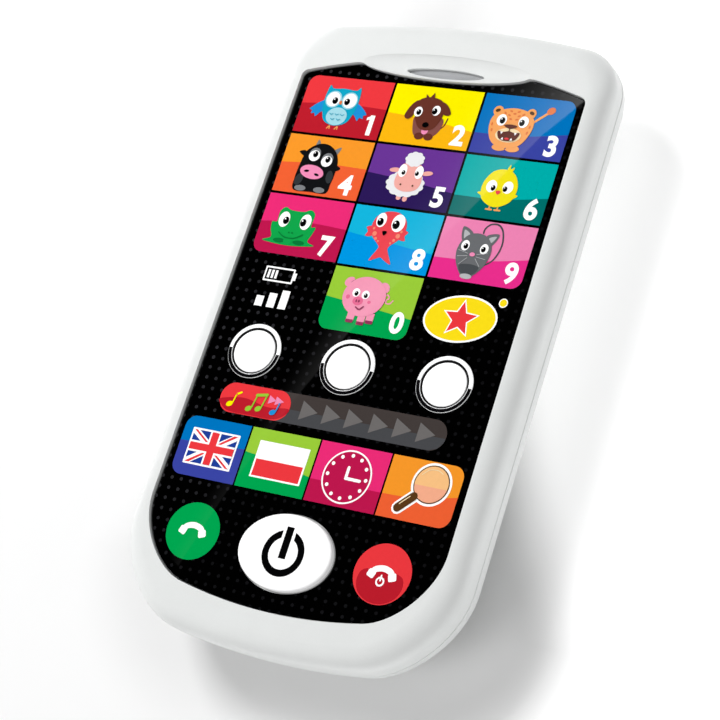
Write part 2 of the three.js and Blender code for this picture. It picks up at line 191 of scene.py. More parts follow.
def rounded(x0, y0, x1, y1, radii=0, n=8):
    """A rectangle with one corner radius, or four: lower left and right, upper right and left."""
    radii = radii if isinstance(radii, tuple) else (radii,) * 4
    corners = [(x0, y0, 180), (x1, y0, 270), (x1, y1, 0), (x0, y1, 90)]
    out = []
    for (x, y, start), r in zip(corners, radii):
        if r == 0:
            out.append((x, y))
            continue
        cx = x + r if x == x0 else x - r
        cy = y + r if y == y0 else y - r
        out += [(cx + r * cos(radians(start + 90 * i / n)), cy + r * sin(radians(start + 90 * i / n)))
                for i in range(n + 1)]
    return out


def flat(name, outlines, low, high):
    """A flat sheet with these outlines, an inner one being a hole, between two heights."""
    sheet = bpy.data.curves.new(name, "CURVE")
    sheet.dimensions, sheet.fill_mode = "2D", "BOTH"
    sheet.extrude = (high - low) / 2 * MM
    for points in outlines:
        line = sheet.splines.new("POLY")
        line.points.add(len(points) - 1)
        for spot, (x, y) in zip(line.points, points):
            spot.co = (x * MM, y * MM, 0, 1)
        line.use_cyclic_u = True
    piece = add_object(name, sheet)
    piece.location.z = (low + high) / 2 * MM
    return piece


def plate(name, outlines, low, high):
    """The flat sheet as a mesh."""
    piece = to_mesh(flat(name, outlines, low, high))
    apply_place()
    edit(piece)
    bpy.ops.mesh.remove_doubles(threshold=0.000001)
    bpy.ops.object.mode_set(mode="OBJECT")
    return piece


def block(name, x0, x1, y0, y1, z0, z1):
    """A box between two corners, in millimetres."""
    spans = ((x0, x1), (y0, y1), (z0, z1))
    return primitive(name, bpy.ops.mesh.primitive_cube_add, [(b - a) * MM for a, b in spans],
                     size=1, location=[(a + b) / 2 * MM for a, b in spans])


def rod(name, x, y, r, z0, z1, n=40):
    """An upright round bar, in millimetres."""
    return primitive(name, bpy.ops.mesh.primitive_cylinder_add, vertices=n, radius=r * MM,
                     depth=(z1 - z0) * MM, location=(x * MM, y * MM, (z0 + z1) / 2 * MM))


def turned(name, profile, x=0.0, y=0.0, steps=64, axis=(0, 0, 1), height=0.0):
    """A profile of (radius, distance along the axis) pairs spun round an upright or long axis."""
    line = bpy.data.curves.new(name, "CURVE")
    line.dimensions = "3D"
    spline = line.splines.new("POLY")
    spline.points.add(len(profile) - 1)
    for spot, (r, along) in zip(spline.points, profile):
        place = (x + r, y, height + along) if axis[2] else (x + r, y + along, height)
        spot.co = (*(MM * v for v in place), 1)
    piece = to_mesh(add_object(name, line))
    edit(piece)
    bpy.ops.mesh.spin(steps=steps, angle=2 * pi, axis=axis, center=(x * MM, y * MM, height * MM))
    bpy.ops.mesh.select_all(action="SELECT")
    bpy.ops.mesh.remove_doubles(threshold=0.000002)
    bpy.ops.mesh.normals_make_consistent(inside=False)
    bpy.ops.object.mode_set(mode="OBJECT")
    return piece


def fit(piece, finish, body, *stands_for):
    """Dress a piece, and say what it rides on, its finish and which solids it stands for."""
    dress(piece, finish)
    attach(piece, body)
    if stands_for:
        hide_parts(*stands_for)
    print(f"{piece.name}: {len(piece.data.polygons)} faces on {body}")
    return piece


# %% [markdown]
# ## Finishes
#
# A finish is a small node tree. Sums on sockets are written as plain Python, so a mask reads as one
# line. All patterns use Object coordinates, so they sit still on the piece and keep their real size.


# %% Sums on sockets, and one way to add a node
class Amount:
    """A socket that can be used in sums."""

    def __init__(self, tree, socket):
        self.tree, self.socket = tree, socket

    def math(self, operation, *values):
        node = self.tree.nodes.new("ShaderNodeMath")
        node.operation = operation
        for slot, value in zip(node.inputs, values):
            link(self.tree, slot, value)
        return Amount(self.tree, node.outputs[0])

    def __add__(self, other): return self.math("ADD", self, other)
    def __radd__(self, other): return self.math("ADD", other, self)
    def __sub__(self, other): return self.math("SUBTRACT", self, other)
    def __rsub__(self, other): return self.math("SUBTRACT", other, self)
    def __mul__(self, other): return self.math("MULTIPLY", self, other)
    def __rmul__(self, other): return self.math("MULTIPLY", other, self)
    def __truediv__(self, other): return self.math("DIVIDE", self, other)
    def __gt__(self, other): return self.math("GREATER_THAN", self, other)
    def __lt__(self, other): return self.math("LESS_THAN", self, other)

    def clamp(self, low):
        """Kept between this and 1."""
        return self.math("MAXIMUM", self.math("MINIMUM", self, 1.0), low)

    def reach(self, other):
        """The distance from the origin, for two coordinates."""
        return self.math("SQRT", self * self + other * other)


def link(tree, slot, value):
    if isinstance(value, Amount):
        tree.links.new(value.socket, slot)
    else:
        slot.default_value = value


class Finish:
    """One material: its principled shader, and nodes added by add()."""

    def __init__(self, name, color=(0.8, 0.8, 0.8), **shader):
        self.name = name
        self.material = bpy.data.materials.new(name)
        self.material.use_nodes = True
        self.tree = self.material.node_tree
        self.shader = self.tree.nodes["Principled BSDF"]
        self.put("Base Color", (*color, 1))
        for socket, value in shader.items():
            self.put(socket.replace("_", " ").title().replace("Ior", "IOR"), value)
        self.place = self.add("ShaderNodeTexCoord", out="Object")

    def put(self, socket, value):
        link(self.tree, self.shader.inputs[socket], value)

    def add(self, kind, settings=None, inputs=None, out=0):
        node = self.tree.nodes.new(kind)
        for name, value in (settings or {}).items():
            setattr(node, name, value)
        for name, value in (inputs or {}).items():
            link(self.tree, node.inputs[name], value)
        return Amount(self.tree, node.outputs[out])

    def grain(self, size, detail=3.0, rough=0.55):
        """Soft random grain with features of about this size in millimetres."""
        return self.add("ShaderNodeTexNoise", None, {
            "Vector": self.place, "Scale": 1 / (size * MM), "Detail": detail, "Roughness": rough})

    def axes(self):
        return self.split(self.place)

    def split(self, vector):
        """The three parts of a vector."""
        node = self.add("ShaderNodeSeparateXYZ", None, {"Vector": vector}).socket.node
        return [Amount(self.tree, part) for part in node.outputs]

    def blend(self, mask, first, second):
        """first where the mask is 0, second where it is 1."""
        node = self.tree.nodes.new("ShaderNodeMix")
        node.data_type = "RGBA"
        slots = [s for s in node.inputs if s.type == "RGBA"]
        link(self.tree, node.inputs[0], mask)
        for slot, value in zip(slots, (first, second)):
            link(self.tree, slot, value if isinstance(value, Amount) else (*value, 1))
        return Amount(self.tree, next(s for s in node.outputs if s.type == "RGBA"))

    def bump(self, height, depth, strength=1.0):
        """Raise the surface by height times this depth in millimetres."""
        self.put("Normal", self.add("ShaderNodeBump", None, {
            "Height": height, "Distance": depth * MM, "Strength": strength}))


def tint(code):
    """A printer's colour code as linear light."""
    parts = [int(code[i:i + 2], 16) / 255 for i in (0, 2, 4)]
    return tuple(v / 12.92 if v <= 0.04045 else ((v + 0.055) / 1.055) ** 2.4 for v in parts)


def dress(piece, finish, slot=0):
    """Give a piece this finish in one of its material slots."""
    while len(piece.data.materials) <= slot:
        piece.data.materials.append(None)
    piece.data.materials[slot] = finish.material


# %% [markdown]
# ## Camera, floor and light
#
# The phone is seen from its lower right and well above, with a long lens. A pale floor and soft
# lights keep the white casing bright. The floor glows a little away from the phone, so only a short
# shadow stays. The black face is a mirror: the lights are hidden from reflections, the room is dark
# where the face mirrors the camera, and one slanted card draws a faint diagonal sheen over it.

# %% Camera
eye = bpy.data.cameras.new("camera")
camera = add_object("camera", eye)
right = Vector((0.84280, 0.30487, -0.44355))
down = Vector((0.14656, -0.92296, -0.35590))
ahead = Vector((-0.51788, 0.23495, -0.82256))
turn = Matrix((right, -down, -ahead)).transposed().to_4x4()
camera.matrix_world = Matrix.Translation(Vector((253.3, -120.3, 418.4)) * MM) @ turn
eye.lens, eye.sensor_width = 124.2, 36.0
eye.clip_start, eye.clip_end = 0.01, 10
stage.camera = camera

# %% Floor
bpy.ops.object.select_all(action="DESELECT")
bpy.ops.mesh.primitive_plane_add(size=6, location=(0, 0, -0.00005))
floor = bpy.context.object
floor.name = "floor"
paper = Finish("floor_paper", (0.8, 0.8, 0.8), roughness=0.9, emission_strength=0.48)
paper.put("Base Color", paper.blend(paper.grain(40, 2), (0.77, 0.77, 0.77), (0.79, 0.79, 0.79)))
fx, fy, _ = paper.axes()
DARK_X, DARK_Y, DARK_ROUND, DARK_EDGE = 0.022, 0.046, 0.022, 0.019  # the unlit patch, in metres
beside = fx.math("MAXIMUM", fx.math("ABSOLUTE", fx) - DARK_X, 0)
beyond = fy.math("MAXIMUM", fy.math("ABSOLUTE", fy) - DARK_Y, 0)
upper = fy.math("MAXIMUM", fy + 0.05, 0) * 0.6  # the patch narrows towards the earpiece end
clear = ((beside.reach(beyond) - DARK_ROUND + upper) / DARK_EDGE).clamp(0.0)
shaded_side = ((fx + 0.03) / 0.06).clamp(0.25)  # less glow on the side that the key light reaches
paper.put("Emission Color", paper.blend(
    clear * clear * (3 - 2 * clear) * shaded_side, (0.05, 0.05, 0.05), (1, 1, 1)))
dress(floor, paper)

# %% Light
stage.view_settings.view_transform = "Standard"
world = bpy.data.worlds.new("studio")
stage.world = world
world.use_nodes = True
walls = world.node_tree
sky = walls.nodes.new("ShaderNodeTexCoord")
facing = walls.nodes.new("ShaderNodeVectorMath")
facing.operation = "DOT_PRODUCT"
facing.inputs[1].default_value = (-0.535, 0.243, 0.809)  # where the face mirrors the eye
ramp = walls.nodes.new("ShaderNodeValToRGB")
for stop, position, shade in zip(ramp.color_ramp.elements, (0.76, 0.92), (1, 0)):
    stop.position, stop.color = position, (shade, shade, shade, 1)
walls.links.new(sky.outputs["Generated"], facing.inputs[0])
walls.links.new(facing.outputs["Value"], ramp.inputs["Fac"])
walls.links.new(ramp.outputs["Color"], walls.nodes["Background"].inputs["Color"])
walls.nodes["Background"].inputs["Strength"].default_value = 0.5


def soft_light(name, place, size, power):
    """A square light aimed at the phone and left out of its reflections."""
    lamp = bpy.data.lights.new(name, "AREA")
    lamp.energy, lamp.size = power, size
    holder = add_object(name, lamp)
    holder.location = place
    holder.rotation_euler = (-Vector(place)).to_track_quat("-Z", "Y").to_euler()
    holder.visible_glossy = False


soft_light("key", (-0.45, 0.36, 0.62), 0.3, 5.1)
soft_light("side", (0.9, -0.1, 0.12), 0.3, 0.6)
soft_light("front", (-0.42, -0.65, 0.7), 0.5, 2.9)

# %% Card for the sheen
FACE_Z, CARD_Z = 19.3, 1000
EYE = Vector((253.3, -120.3, 2 * FACE_Z - 418.4))  # the eye mirrored in the face
REACH = (CARD_Z - EYE.z) / (FACE_Z - EYE.z)  # from the face up to the card
BAND = [(33.5, 54.5), (25.6, 45.0), (14.6, 26.5), (-2.6, -1.3), (-9.0, -15.4), (-17.6, -37),
        (-23, -54)]  # the sheen's sharp edge, as it runs over the face
WIDE = [20, 20, 14, 7, 5.5, 5, 4]  # how far it reaches to the side of that edge
ASIDE = Vector((-0.88, 0.47, 0))  # square to the edge
card = primitive("sheen_card", bpy.ops.mesh.primitive_grid_add,
                 x_subdivisions=1, y_subdivisions=len(BAND) - 1, size=2)
for corner in card.data.vertices:
    row = round((corner.co.y + 1) / 2 * (len(BAND) - 1))
    x, y = BAND[row]
    wide = WIDE[row] if corner.co.x < 0 else 0
    place = Vector((x, y, FACE_Z)) + ASIDE * wide
    corner.co = (EYE + (place - EYE) * REACH) * MM
glow = Finish("card_glow", (0, 0, 0), roughness=1.0, specular_ior_level=0.0, emission_strength=2.2)
near, far, _ = glow.split(glow.add("ShaderNodeTexCoord", out="UV"))
fade = near * near * (0.06 + 0.94 * far.math("POWER", 1 - far, 2.8))
glow.put("Emission Color", glow.blend(fade, (0, 0, 0), (1, 1, 1)))
dress(card, glow)
print("camera, floor and light are in place")

# %% [markdown]
# ## The casing's outline
#
# Both casings follow one outline: a rounded rectangle whose ends bow out and whose sides taper
# slightly towards the top. The window for the printed face is the same kind of outline, notched at
# the top by the lens-shaped lip of the earpiece dish.

# %% Outlines of the casing and the window
HALF_LENGTH, HALF_WIDTH = 67.0, 37.9
RIM_Z, PART_Z, WALL, RIM_ROUND, BACK_SWEEP = 20.0, 13.5, 2.0, 4.0, 22.0
DECK_Z, DECK_LOW, PANEL = 17.3, 15.6, 1.4
TAPER = 0.022
DISH_Y, DISH_RX, DISH_RY, DISH_DEPTH = 56.8, 19.8, 2.8, 1.15


def bowed(half, top, bottom, r_top, r_bottom, bow_top, bow_bottom, fine=1):
    """The rounded rectangle with bowed ends and tapered sides."""
    y_top, y_bottom = top - bow_top, bow_bottom - bottom
    points = []

    def corner(x, y, r, start, steps):
        points.extend((x + r * cos(start + pi / 2 * i / steps), y + r * sin(start + pi / 2 * i / steps))
                      for i in range(steps + 1))

    def side(steps, x0, y0, x1, y1):
        points.extend((x0 + (x1 - x0) * i / steps, y0 + (y1 - y0) * i / steps)
                      for i in range(1, steps))
    corner(half - r_top, y_top - r_top, r_top, 0, 10 * fine)
    side(28 * fine, half - r_top, y_top, r_top - half, y_top)
    corner(r_top - half, y_top - r_top, r_top, pi / 2, 10 * fine)
    side(16 * fine, -half, y_top - r_top, -half, y_bottom + r_bottom)
    corner(r_bottom - half, y_bottom + r_bottom, r_bottom, pi, 18 * fine)
    side(16 * fine, r_bottom - half, y_bottom, half - r_bottom, y_bottom)
    corner(half - r_bottom, y_bottom + r_bottom, r_bottom, 1.5 * pi, 18 * fine)
    side(16 * fine, half, y_bottom + r_bottom, half, y_top - r_top)
    out = []
    for x, y in points:
        across = 1 - (x / half) ** 2
        bow, end = (bow_top, y_top) if y > 0 else (-bow_bottom, y_bottom)
        out.append((x * (1 - TAPER * y / HALF_LENGTH), y + bow * across * (y / end) ** 4))
    return out


def window(inset):
    """The window's outline made smaller all round, with the lip of the dish cut out of its top."""
    rim = bowed(33.7 - inset, 58.2 - inset, 58.9 - inset, 1.2, 13 - inset, 5, 5.5, 2)
    rx, ry = DISH_RX + inset, DISH_RY + inset
    out = []
    for x, y in rim:
        if y > 40 and abs(x) < rx:
            y = min(y, DISH_Y - ry * (1 - (x / rx) ** 2) ** 0.5)
        out.append((x, y))
    return out


BODY = bowed(HALF_WIDTH, HALF_LENGTH, HALF_LENGTH, 8.5, 17, 3, 5)
print("outline points:", len(BODY))


# %% Raise a hull from the outline, level by level
def hull(name, levels):
    """Fill the outline, then extrude it up through (inset, height) levels, resizing at each."""
    shrink = [((HALF_WIDTH - i) / HALF_WIDTH, (HALF_LENGTH - i) / HALF_LENGTH, z) for i, z in levels]
    sx, sy, z = shrink[0]
    edge = flat(name, [[(x * sx, y * sy) for x, y in BODY]], z, z)
    edge.data.fill_mode = "NONE"
    piece = to_mesh(edge)
    apply_place()
    edit(piece)
    bpy.ops.mesh.edge_face_add()
    for (ax, ay, az), (bx, by, bz) in zip(shrink, shrink[1:]):
        bpy.ops.mesh.extrude_region_move(TRANSFORM_OT_translate={"value": (0, 0, (bz - az) * MM)})
        bpy.ops.transform.resize(value=(bx / ax, by / ay, 1), center_override=(0, 0, 0))
    bpy.ops.mesh.select_all(action="SELECT")
    bpy.ops.mesh.normals_make_consistent(inside=False)
    bpy.ops.object.mode_set(mode="OBJECT")
    return piece


def back_levels(inset, floor, steps=16):
    """Levels of the swept-in back, from its flat floor up to the parting line."""
    out = []
    for i in range(steps + 1):
        angle = (1 - i / steps) * pi / 2
        out.append((inset + BACK_SWEEP * (1 - cos(angle)), floor + (PART_Z - floor) * (1 - sin(angle))))
    return out


def bevel_where(piece, width, chosen, segments=3):
    """Round the edges whose two ends pass a test on their place in millimetres."""
    edit(piece, "EDGE")
    bpy.ops.mesh.select_all(action="DESELECT")
    bpy.ops.object.mode_set(mode="OBJECT")
    points = [v.co / MM for v in piece.data.vertices]
    count = 0
    for line in piece.data.edges:
        line.select = all(chosen(points[v]) for v in line.vertices)
        count += line.select
    bpy.ops.object.mode_set(mode="EDIT")
    if count:
        bpy.ops.mesh.bevel(offset=width * MM, segments=segments, affect="EDGES", clamp_overlap=True)
    bpy.ops.object.mode_set(mode="OBJECT")
    return count


# %% [markdown]
# ## Casing plastic
#
# The casing is white ABS from a finely etched mould: a satin skin with a very fine grain, a slightly
# uneven gloss, and edges that catch the light.

# %% Casing finish
shell_white = Finish("casing_white", roughness=0.3, ior=1.5)
tone = shell_white.grain(6, 3)
speck = shell_white.grain(0.35, 2)
shell_white.put("Base Color", shell_white.blend(
    tone * 0.6 + speck * 0.4, tint("DFE1E0"), tint("E8EAE9")))
shell_white.put("Roughness", 0.26 + speck * 0.16)
shell_white.bump(speck + shell_white.grain(0.12, 2) * 0.5, 0.012, 0.5)

# %% Front casing: rim, window, dish and slot
front = hull("front_casing_shell", [(0.2, PART_Z + 0.03), (0, PART_Z + 0.22)] + [
    (RIM_ROUND * (1 - cos(a)), RIM_Z - RIM_ROUND * (1 - sin(a)))
    for a in (pi / 2 * i / 12 for i in range(13))])
cut(front, hull("hollow", [(WALL + 0.35, PART_Z - 1), (WALL + 0.35, DECK_LOW)]))
cut(front, plate("window_cut", [window(0)], DECK_Z, RIM_Z + 1))
cut(front, primitive("dish", bpy.ops.mesh.primitive_uv_sphere_add,
                     ((DISH_RX + 0.35) * MM, (DISH_RY + 0.05) * MM, DISH_DEPTH * MM),
                     segments=96, ring_count=32, radius=1,
                     location=(0, DISH_Y * MM, (RIM_Z + 0.3) * MM)))
SLOT_Y, SLOT_RY = 55.75, 1.15
cut(front, plate("slot_cut", [oval(0, SLOT_Y, 9, SLOT_RY)], DECK_LOW - 1, RIM_Z + 1))
LIGHTS = {"left": -22.3, "middle": -0.2, "right": 21.9}
SQUASH = 0.95  # the rings are a little wider than tall
LIGHT_Y, LENS_R, RING_R = -8.25, 4.72, 6.0
POWER_Y, POWER_RX, POWER_RY = -46.9, 10.5, 7.65
POSTS = [(-27, 50), (27, 50), (-25.5, -44.5), (25.5, -44.5)]
cut(front, fuse(*[rod("hole", x, LIGHT_Y, LENS_R + 0.12, DECK_LOW - 1, 18) for x in LIGHTS.values()],
                plate("hole", [oval(0, POWER_Y, POWER_RX + 0.4, POWER_RY + 0.4)], DECK_LOW - 1, 18),
                block("hole", -5.8, 5.8, -34.6, -33.2, DECK_LOW - 1, 18)))
for x, y in POSTS:
    cut(front, rod("boss", x, y, 3.2, PART_Z - 0.4, DECK_LOW + 0.5), "UNION")
    cut(front, rod("pilot", x, y, 1.4, PART_Z - 2, DECK_LOW + 1.1))
RIM_LINE = {(round(x, 2), round(y, 2)) for x, y in window(0)}


def on_window_edge(p):
    return abs(p.z - RIM_Z) < 0.01 and (round(p.x, 2), round(p.y, 2)) in RIM_LINE


def on_dish_edge(p):
    off = hypot(p.x / (DISH_RX + 0.2), (p.y - DISH_Y) / DISH_RY) - 1
    return abs(p.z - RIM_Z) < 0.01 and abs(off) < 0.12


settle(front, 28)
print("dish edge:", bevel_where(front, 0.5, on_dish_edge, 4))
print("window edge:", bevel_where(front, 0.16, on_window_edge, 1))
alone(front)
bpy.ops.object.shade_smooth_by_angle(angle=radians(28))
apply_modifier(front, "WEIGHTED_NORMAL", keep_sharp=True, weight=60)
fit(front, shell_white, "phone", "front_casing")

# %% [markdown]
# ## The printed face
#
# The panel is a black sheet under a clear hard coat, with a fine grid of faint dots. The pictures are
# inks printed on it. Each ink is a very thin flat shape laid over the one before, like layers in a
# screen print, and all of them share the same gloss, so one reflection runs over everything.

# %% Panel finish
gloss_black = Finish("panel_black", tint("060607"), roughness=0.03, ior=1.5)
px, py, _ = gloss_black.axes()
PITCH_X, PITCH_Y = 2.26 * MM, 2.16 * MM
across = px.math("FRACT", px / PITCH_X + 100.37) - 0.5
upward = py.math("FRACT", py / PITCH_Y + 100.57) - 0.5
# Painted sheen: the dots are painted brighter towards the side where the face's diagonal sheen lies, and
# fade to faint away from it.
sheen_fade = 0.5 - (px * 0.88 - py * 0.47 + 0.002) * 25
dots_and_sheen = (across.reach(upward) < 0.17) * sheen_fade.clamp(0.22) * (0.2 + 0.8 * gloss_black.grain(22, 1))
gloss_black.put("Base Color", gloss_black.blend(dots_and_sheen, tint("010101"), tint("38383C")))
gloss_black.put("Roughness", 0.008 + gloss_black.grain(3, 2) * 0.01)
gloss_black.bump(gloss_black.grain(9, 1), 0.004, 0.3)

# %% Panel
panel = plate("face_panel_sheet", [
    window(0.25),
    *[oval(x, LIGHT_Y, RING_R + 0.12, (RING_R + 0.12) * SQUASH, n=72) for x in LIGHTS.values()],
    oval(0, POWER_Y, POWER_RX + 0.3, POWER_RY + 0.3, n=96)], FACE_Z - PANEL, FACE_Z)
settle(panel, 30)
fit(panel, gloss_black, "phone", "face_panel")

# %% Inks
INKS = {
    "white": "FFFFFF", "black": "060607", "coal_black": "020202",
    "grey": "7E8184", "smoke": "443D3B", "ash": "494A4D", "pebble": "6F6C6B",
    "red": "EF3A40", "dark_red": "BE1E2D", "yellow": "FFF200", "amber": "FDB913",
    "blue": "0075C0", "deep_blue": "3A45A4", "orange": "FA9A2B", "burnt": "F26234",
    "purple": "6A3696", "plum": "2C1A58", "teal": "00AFAC", "deep_teal": "00706C",
    "pink": "EE2D78", "crimson": "BF184E", "cyan": "14B6DE", "sky": "0098E4",
    "rose": "F186B6", "magenta": "EC2F8E", "lime": "9BCD3A", "green": "00A650",
    "owl_blue": "12A5C6", "wing_blue": "2090D8", "pale_blue": "A6DCE8", "brown": "69352A",
    "soft_brown": "86504A", "tan": "F9A75D", "spot": "E67A42", "cream": "FCE3B4",
    "coal": "131416", "iron": "34383B", "slate": "4A4E52", "blush": "F590BB", "skin": "F6AFA6",
    "wool": "EFEFF2", "chick": "F6E71B", "fish": "EE4853", "coral": "F68D72",
    "mouse": "6C6E71", "silver": "B9BBBE", "pig": "F79CB9", "snout": "EC6E97",
    "wine": "92365A", "leaf": "12A54B", "dark_leaf": "0B7A38", "navy": "21409A",
    "peach": "FDC586", "salmon": "F9B08E", "mouth": "5F2B20", "handle": "5B3A1C", "star": "FFE21A",
}
inks = {}


def ink(name):
    """A printed colour under the panel's gloss, very slightly uneven as screen print is."""
    if name not in inks:
        base = tint(INKS[name])
        made = Finish(f"ink_{name}", base, roughness=0.012, ior=1.5)
        dim = tuple(v * 0.93 for v in base)
        made.put("Base Color", made.blend(made.grain(0.8, 2), dim, base))
        made.bump(made.grain(9, 1), 0.004, 0.3)
        # Painted light: the white ink glows a little, so it stays fully white where light would leave it
        # grey.
        if name == "white":
            made.put("Emission Color", (1, 1, 1, 1))
            made.put("Emission Strength", 0.12)
        inks[name] = made
    return inks[name]


LAYER, ON_KEY = 0.02, 3


def picture(name, centre, layers, base=FACE_Z, body="phone", first=1):
    """Print (ink, outline, outline, ...) layers one over the other, round a centre."""
    cx, cy = centre
    sheets = []
    for level, (color, *outlines) in enumerate(layers, start=first):
        moved = [[(cx + x, cy + y) for x, y in points] for points in outlines]
        low = base + LAYER * (level - 1) + 0.003
        sheet = flat(f"{name}_{level}", moved, low, low + LAYER * 0.8)
        sheet.data.materials.append(ink(color).material)
        sheets.append(sheet)
    alone(sheets[0])
    for sheet in sheets:
        sheet.select_set(True)
    bpy.ops.object.convert(target="MESH")
    sheets = list(bpy.context.selected_objects)
    apply_place()
    piece = fuse(*sheets)
    piece.name = name
    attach(piece, body)


def on_key(name, centre, *layers):
    """Print a picture over the two layers of a key."""
    picture(name, centre, layers, first=ON_KEY)


# %% [markdown]
# ### Keys
#
# Ten number keys, each in two tones split by a gentle wave, and a row of four keys below. The black
# lines between them are the panel itself. The outer corners of each group are rounded.

# %% Key colours
KEY, ROW, GRID_TOP, LINE = 21.0, 13.5, 53.0, 0.27
KEYS = {  # column, row, upper and lower ink, heights of the wave from left to right, corner radii
    "1": (0, 0, "red", "dark_red", (0.50, 0.55, 0.53), (0, 0, 0, 2.2)),
    "2": (1, 0, "yellow", "amber", (0.50, 0.44, 0.32), (0, 0, 0, 0)),
    "3": (2, 0, "blue", "deep_blue", (0.33, 0.34, 0.45), (0, 0, 2.2, 0)),
    "4": (0, 1, "orange", "burnt", (0.50, 0.55, 0.54), (0, 0, 0, 0)),
    "5": (1, 1, "purple", "plum", (0.51, 0.44, 0.33), (0, 0, 0, 0)),
    "6": (2, 1, "teal", "deep_teal", (0.32, 0.33, 0.44), (0, 0, 0, 0)),
    "7": (0, 2, "pink", "crimson", (0.51, 0.58, 0.55), (2.2, 0, 0, 0)),
    "8": (1, 2, "cyan", "sky", (0.53, 0.44, 0.35), (0, 0, 0, 0)),
    "9": (2, 2, "rose", "magenta", (0.33, 0.36, 0.48), (0, 2.2, 0, 0)),
    "0": (1, 3, "lime", "green", (0.51, 0.43, 0.34), (2.2, 2.2, 0, 0)),
}


def two_tone(name, x0, y0, x1, y1, upper, lower, wave, radii):
    """A key's upper colour, and its lower colour up to the wave."""
    edge = rounded(x0, y0, x1, y1, radii)
    crest = smooth([(x0 + (x1 - x0) * i / 2, y0 + (y1 - y0) * h) for i, h in enumerate(wave)],
                   closed=False, fine=10)
    foot = [p for p in edge if p[1] < min(y for _, y in crest)]
    start = min(range(len(foot)), key=lambda i: (round(foot[i][0], 3), -foot[i][1]))
    foot = foot[start:] + foot[:start]
    picture(name, (0, 0), [(upper, edge), (lower, foot + crest[::-1])])


right_of, under = 1.5 * KEY, GRID_TOP - 3 * ROW
half_line = LINE - 0.02
picture("key_lines", (0, 0), [("coal_black", *[
    rounded(-right_of, GRID_TOP - i * ROW - half_line, right_of, GRID_TOP - i * ROW + half_line)
    for i in (1, 2)],
    rounded(-KEY / 2 - LINE, under - half_line, KEY / 2 + LINE, under + half_line), *[
    rounded(x - half_line, GRID_TOP - (i + 1) * ROW + LINE, x + half_line, GRID_TOP - i * ROW - LINE)
    for x in (-KEY / 2, KEY / 2) for i in range(3)])])
for label, (column, row, upper, lower, wave, radii) in KEYS.items():
    left = (column - 1.5) * KEY
    top = GRID_TOP - row * ROW
    low = top - ROW - (0.4 if row == 3 else 0)
    two_tone(f"key_{label}", left + LINE, low + LINE, left + KEY - LINE, top - LINE,
             upper, lower, wave, radii)

APPS = {  # left and right edges, upper, lower, wave, corners
    "english": (-32.4, -17.0, "blue", "deep_blue", (0.56, 0.58, 0.60), (2.4, 0, 0, 2.4)),
    "polish": (-16.6, -0.7, "lime", "green", (0.58, 0.50, 0.37), (0, 0, 0, 0)),
    "clock": (-0.3, 15.7, "pink", "crimson", (0.36, 0.36, 0.36), (0, 0, 0, 0)),
    "search": (16.1, 32.1, "orange", "burnt", (0.36, 0.39, 0.52), (0, 2.4, 2.4, 0)),
}
APP_LOW, APP_HIGH = -35.9, -23.5
picture("app_lines", (0, 0), [("coal_black", *[
    rounded(x - 0.18, APP_LOW, x + 0.18, APP_HIGH) for x in (-16.8, -0.5, 15.9)])])
for label, (x0, x1, upper, lower, wave, radii) in APPS.items():
    two_tone(f"app_{label}", x0, APP_LOW, x1, APP_HIGH, upper, lower, wave, radii)
print("keys printed:", len(KEYS) + len(APPS))

# %% [markdown]
# ### Numbers
#
# The numbers are set with the built-in typeface, made bolder by an offset, then turned into meshes.
# The typeface's 1 comes out as a plain bar, so it gets a flag of its own.

# %% Numbers
NUMBER_X = {"1": 7.7, "4": 6.7, "7": 6.7}
for label, (column, row, *_) in KEYS.items():
    font = bpy.data.curves.new(f"number_{label}", "FONT")
    font.body, font.size, font.align_x = label, 5.9, "CENTER"
    font.offset, font.extrude = 0.2 if label == "9" else 0.22, 0.008
    font.materials.append(ink("white").material)
    number = to_mesh(add_object(font.name, font))
    number.scale = (MM, MM, MM)
    number.location = (((column - 1) * KEY + NUMBER_X.get(label, 7.4)) * MM,
                       (GRID_TOP - (row + 1) * ROW + 1.35) * MM, (FACE_Z + LAYER * ON_KEY) * MM)
    apply_place()
    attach(number, "phone")
    if label == "1":
        tip = max((v.co for v in number.data.vertices), key=lambda p: p.y - p.x)
        flag = [(0.4, 0), (-0.75, -0.6), (-0.75, -1.2), (-0.1, -0.95), (0.4, -0.95)]
        on_key("number_1_flag", (tip.x / MM, tip.y / MM), ("white", flag))
print("numbers printed:", len(KEYS))

# %% [markdown]
# ### Animals
#
# One small picture per key, in plain flat colours with large round eyes. Each is drawn round its own
# centre in millimetres, from ovals, soft curves and strokes, the lowest layer first.

# %% Shared bits of the pictures
def flip(points):
    return [(-x, y) for x, y in reversed(points)]


def eyes(*pairs):
    """White ovals, then pupils, then a glint: (x, y, rx, ry, pupil dx, dy, size)."""
    whites = [oval(x, y, rx, ry) for x, y, rx, ry, *_ in pairs]
    pupils = [oval(x + dx, y + dy, r * 1.2, r * 1.4, n=24) for x, y, _, _, dx, dy, r in pairs]
    glints = [oval(x + dx - r * 0.45, y + dy + r * 0.6, r * 0.3, n=12)
              for x, y, _, _, dx, dy, r in pairs]
    return [("white", *whites), ("black", *pupils), ("white", *glints)]


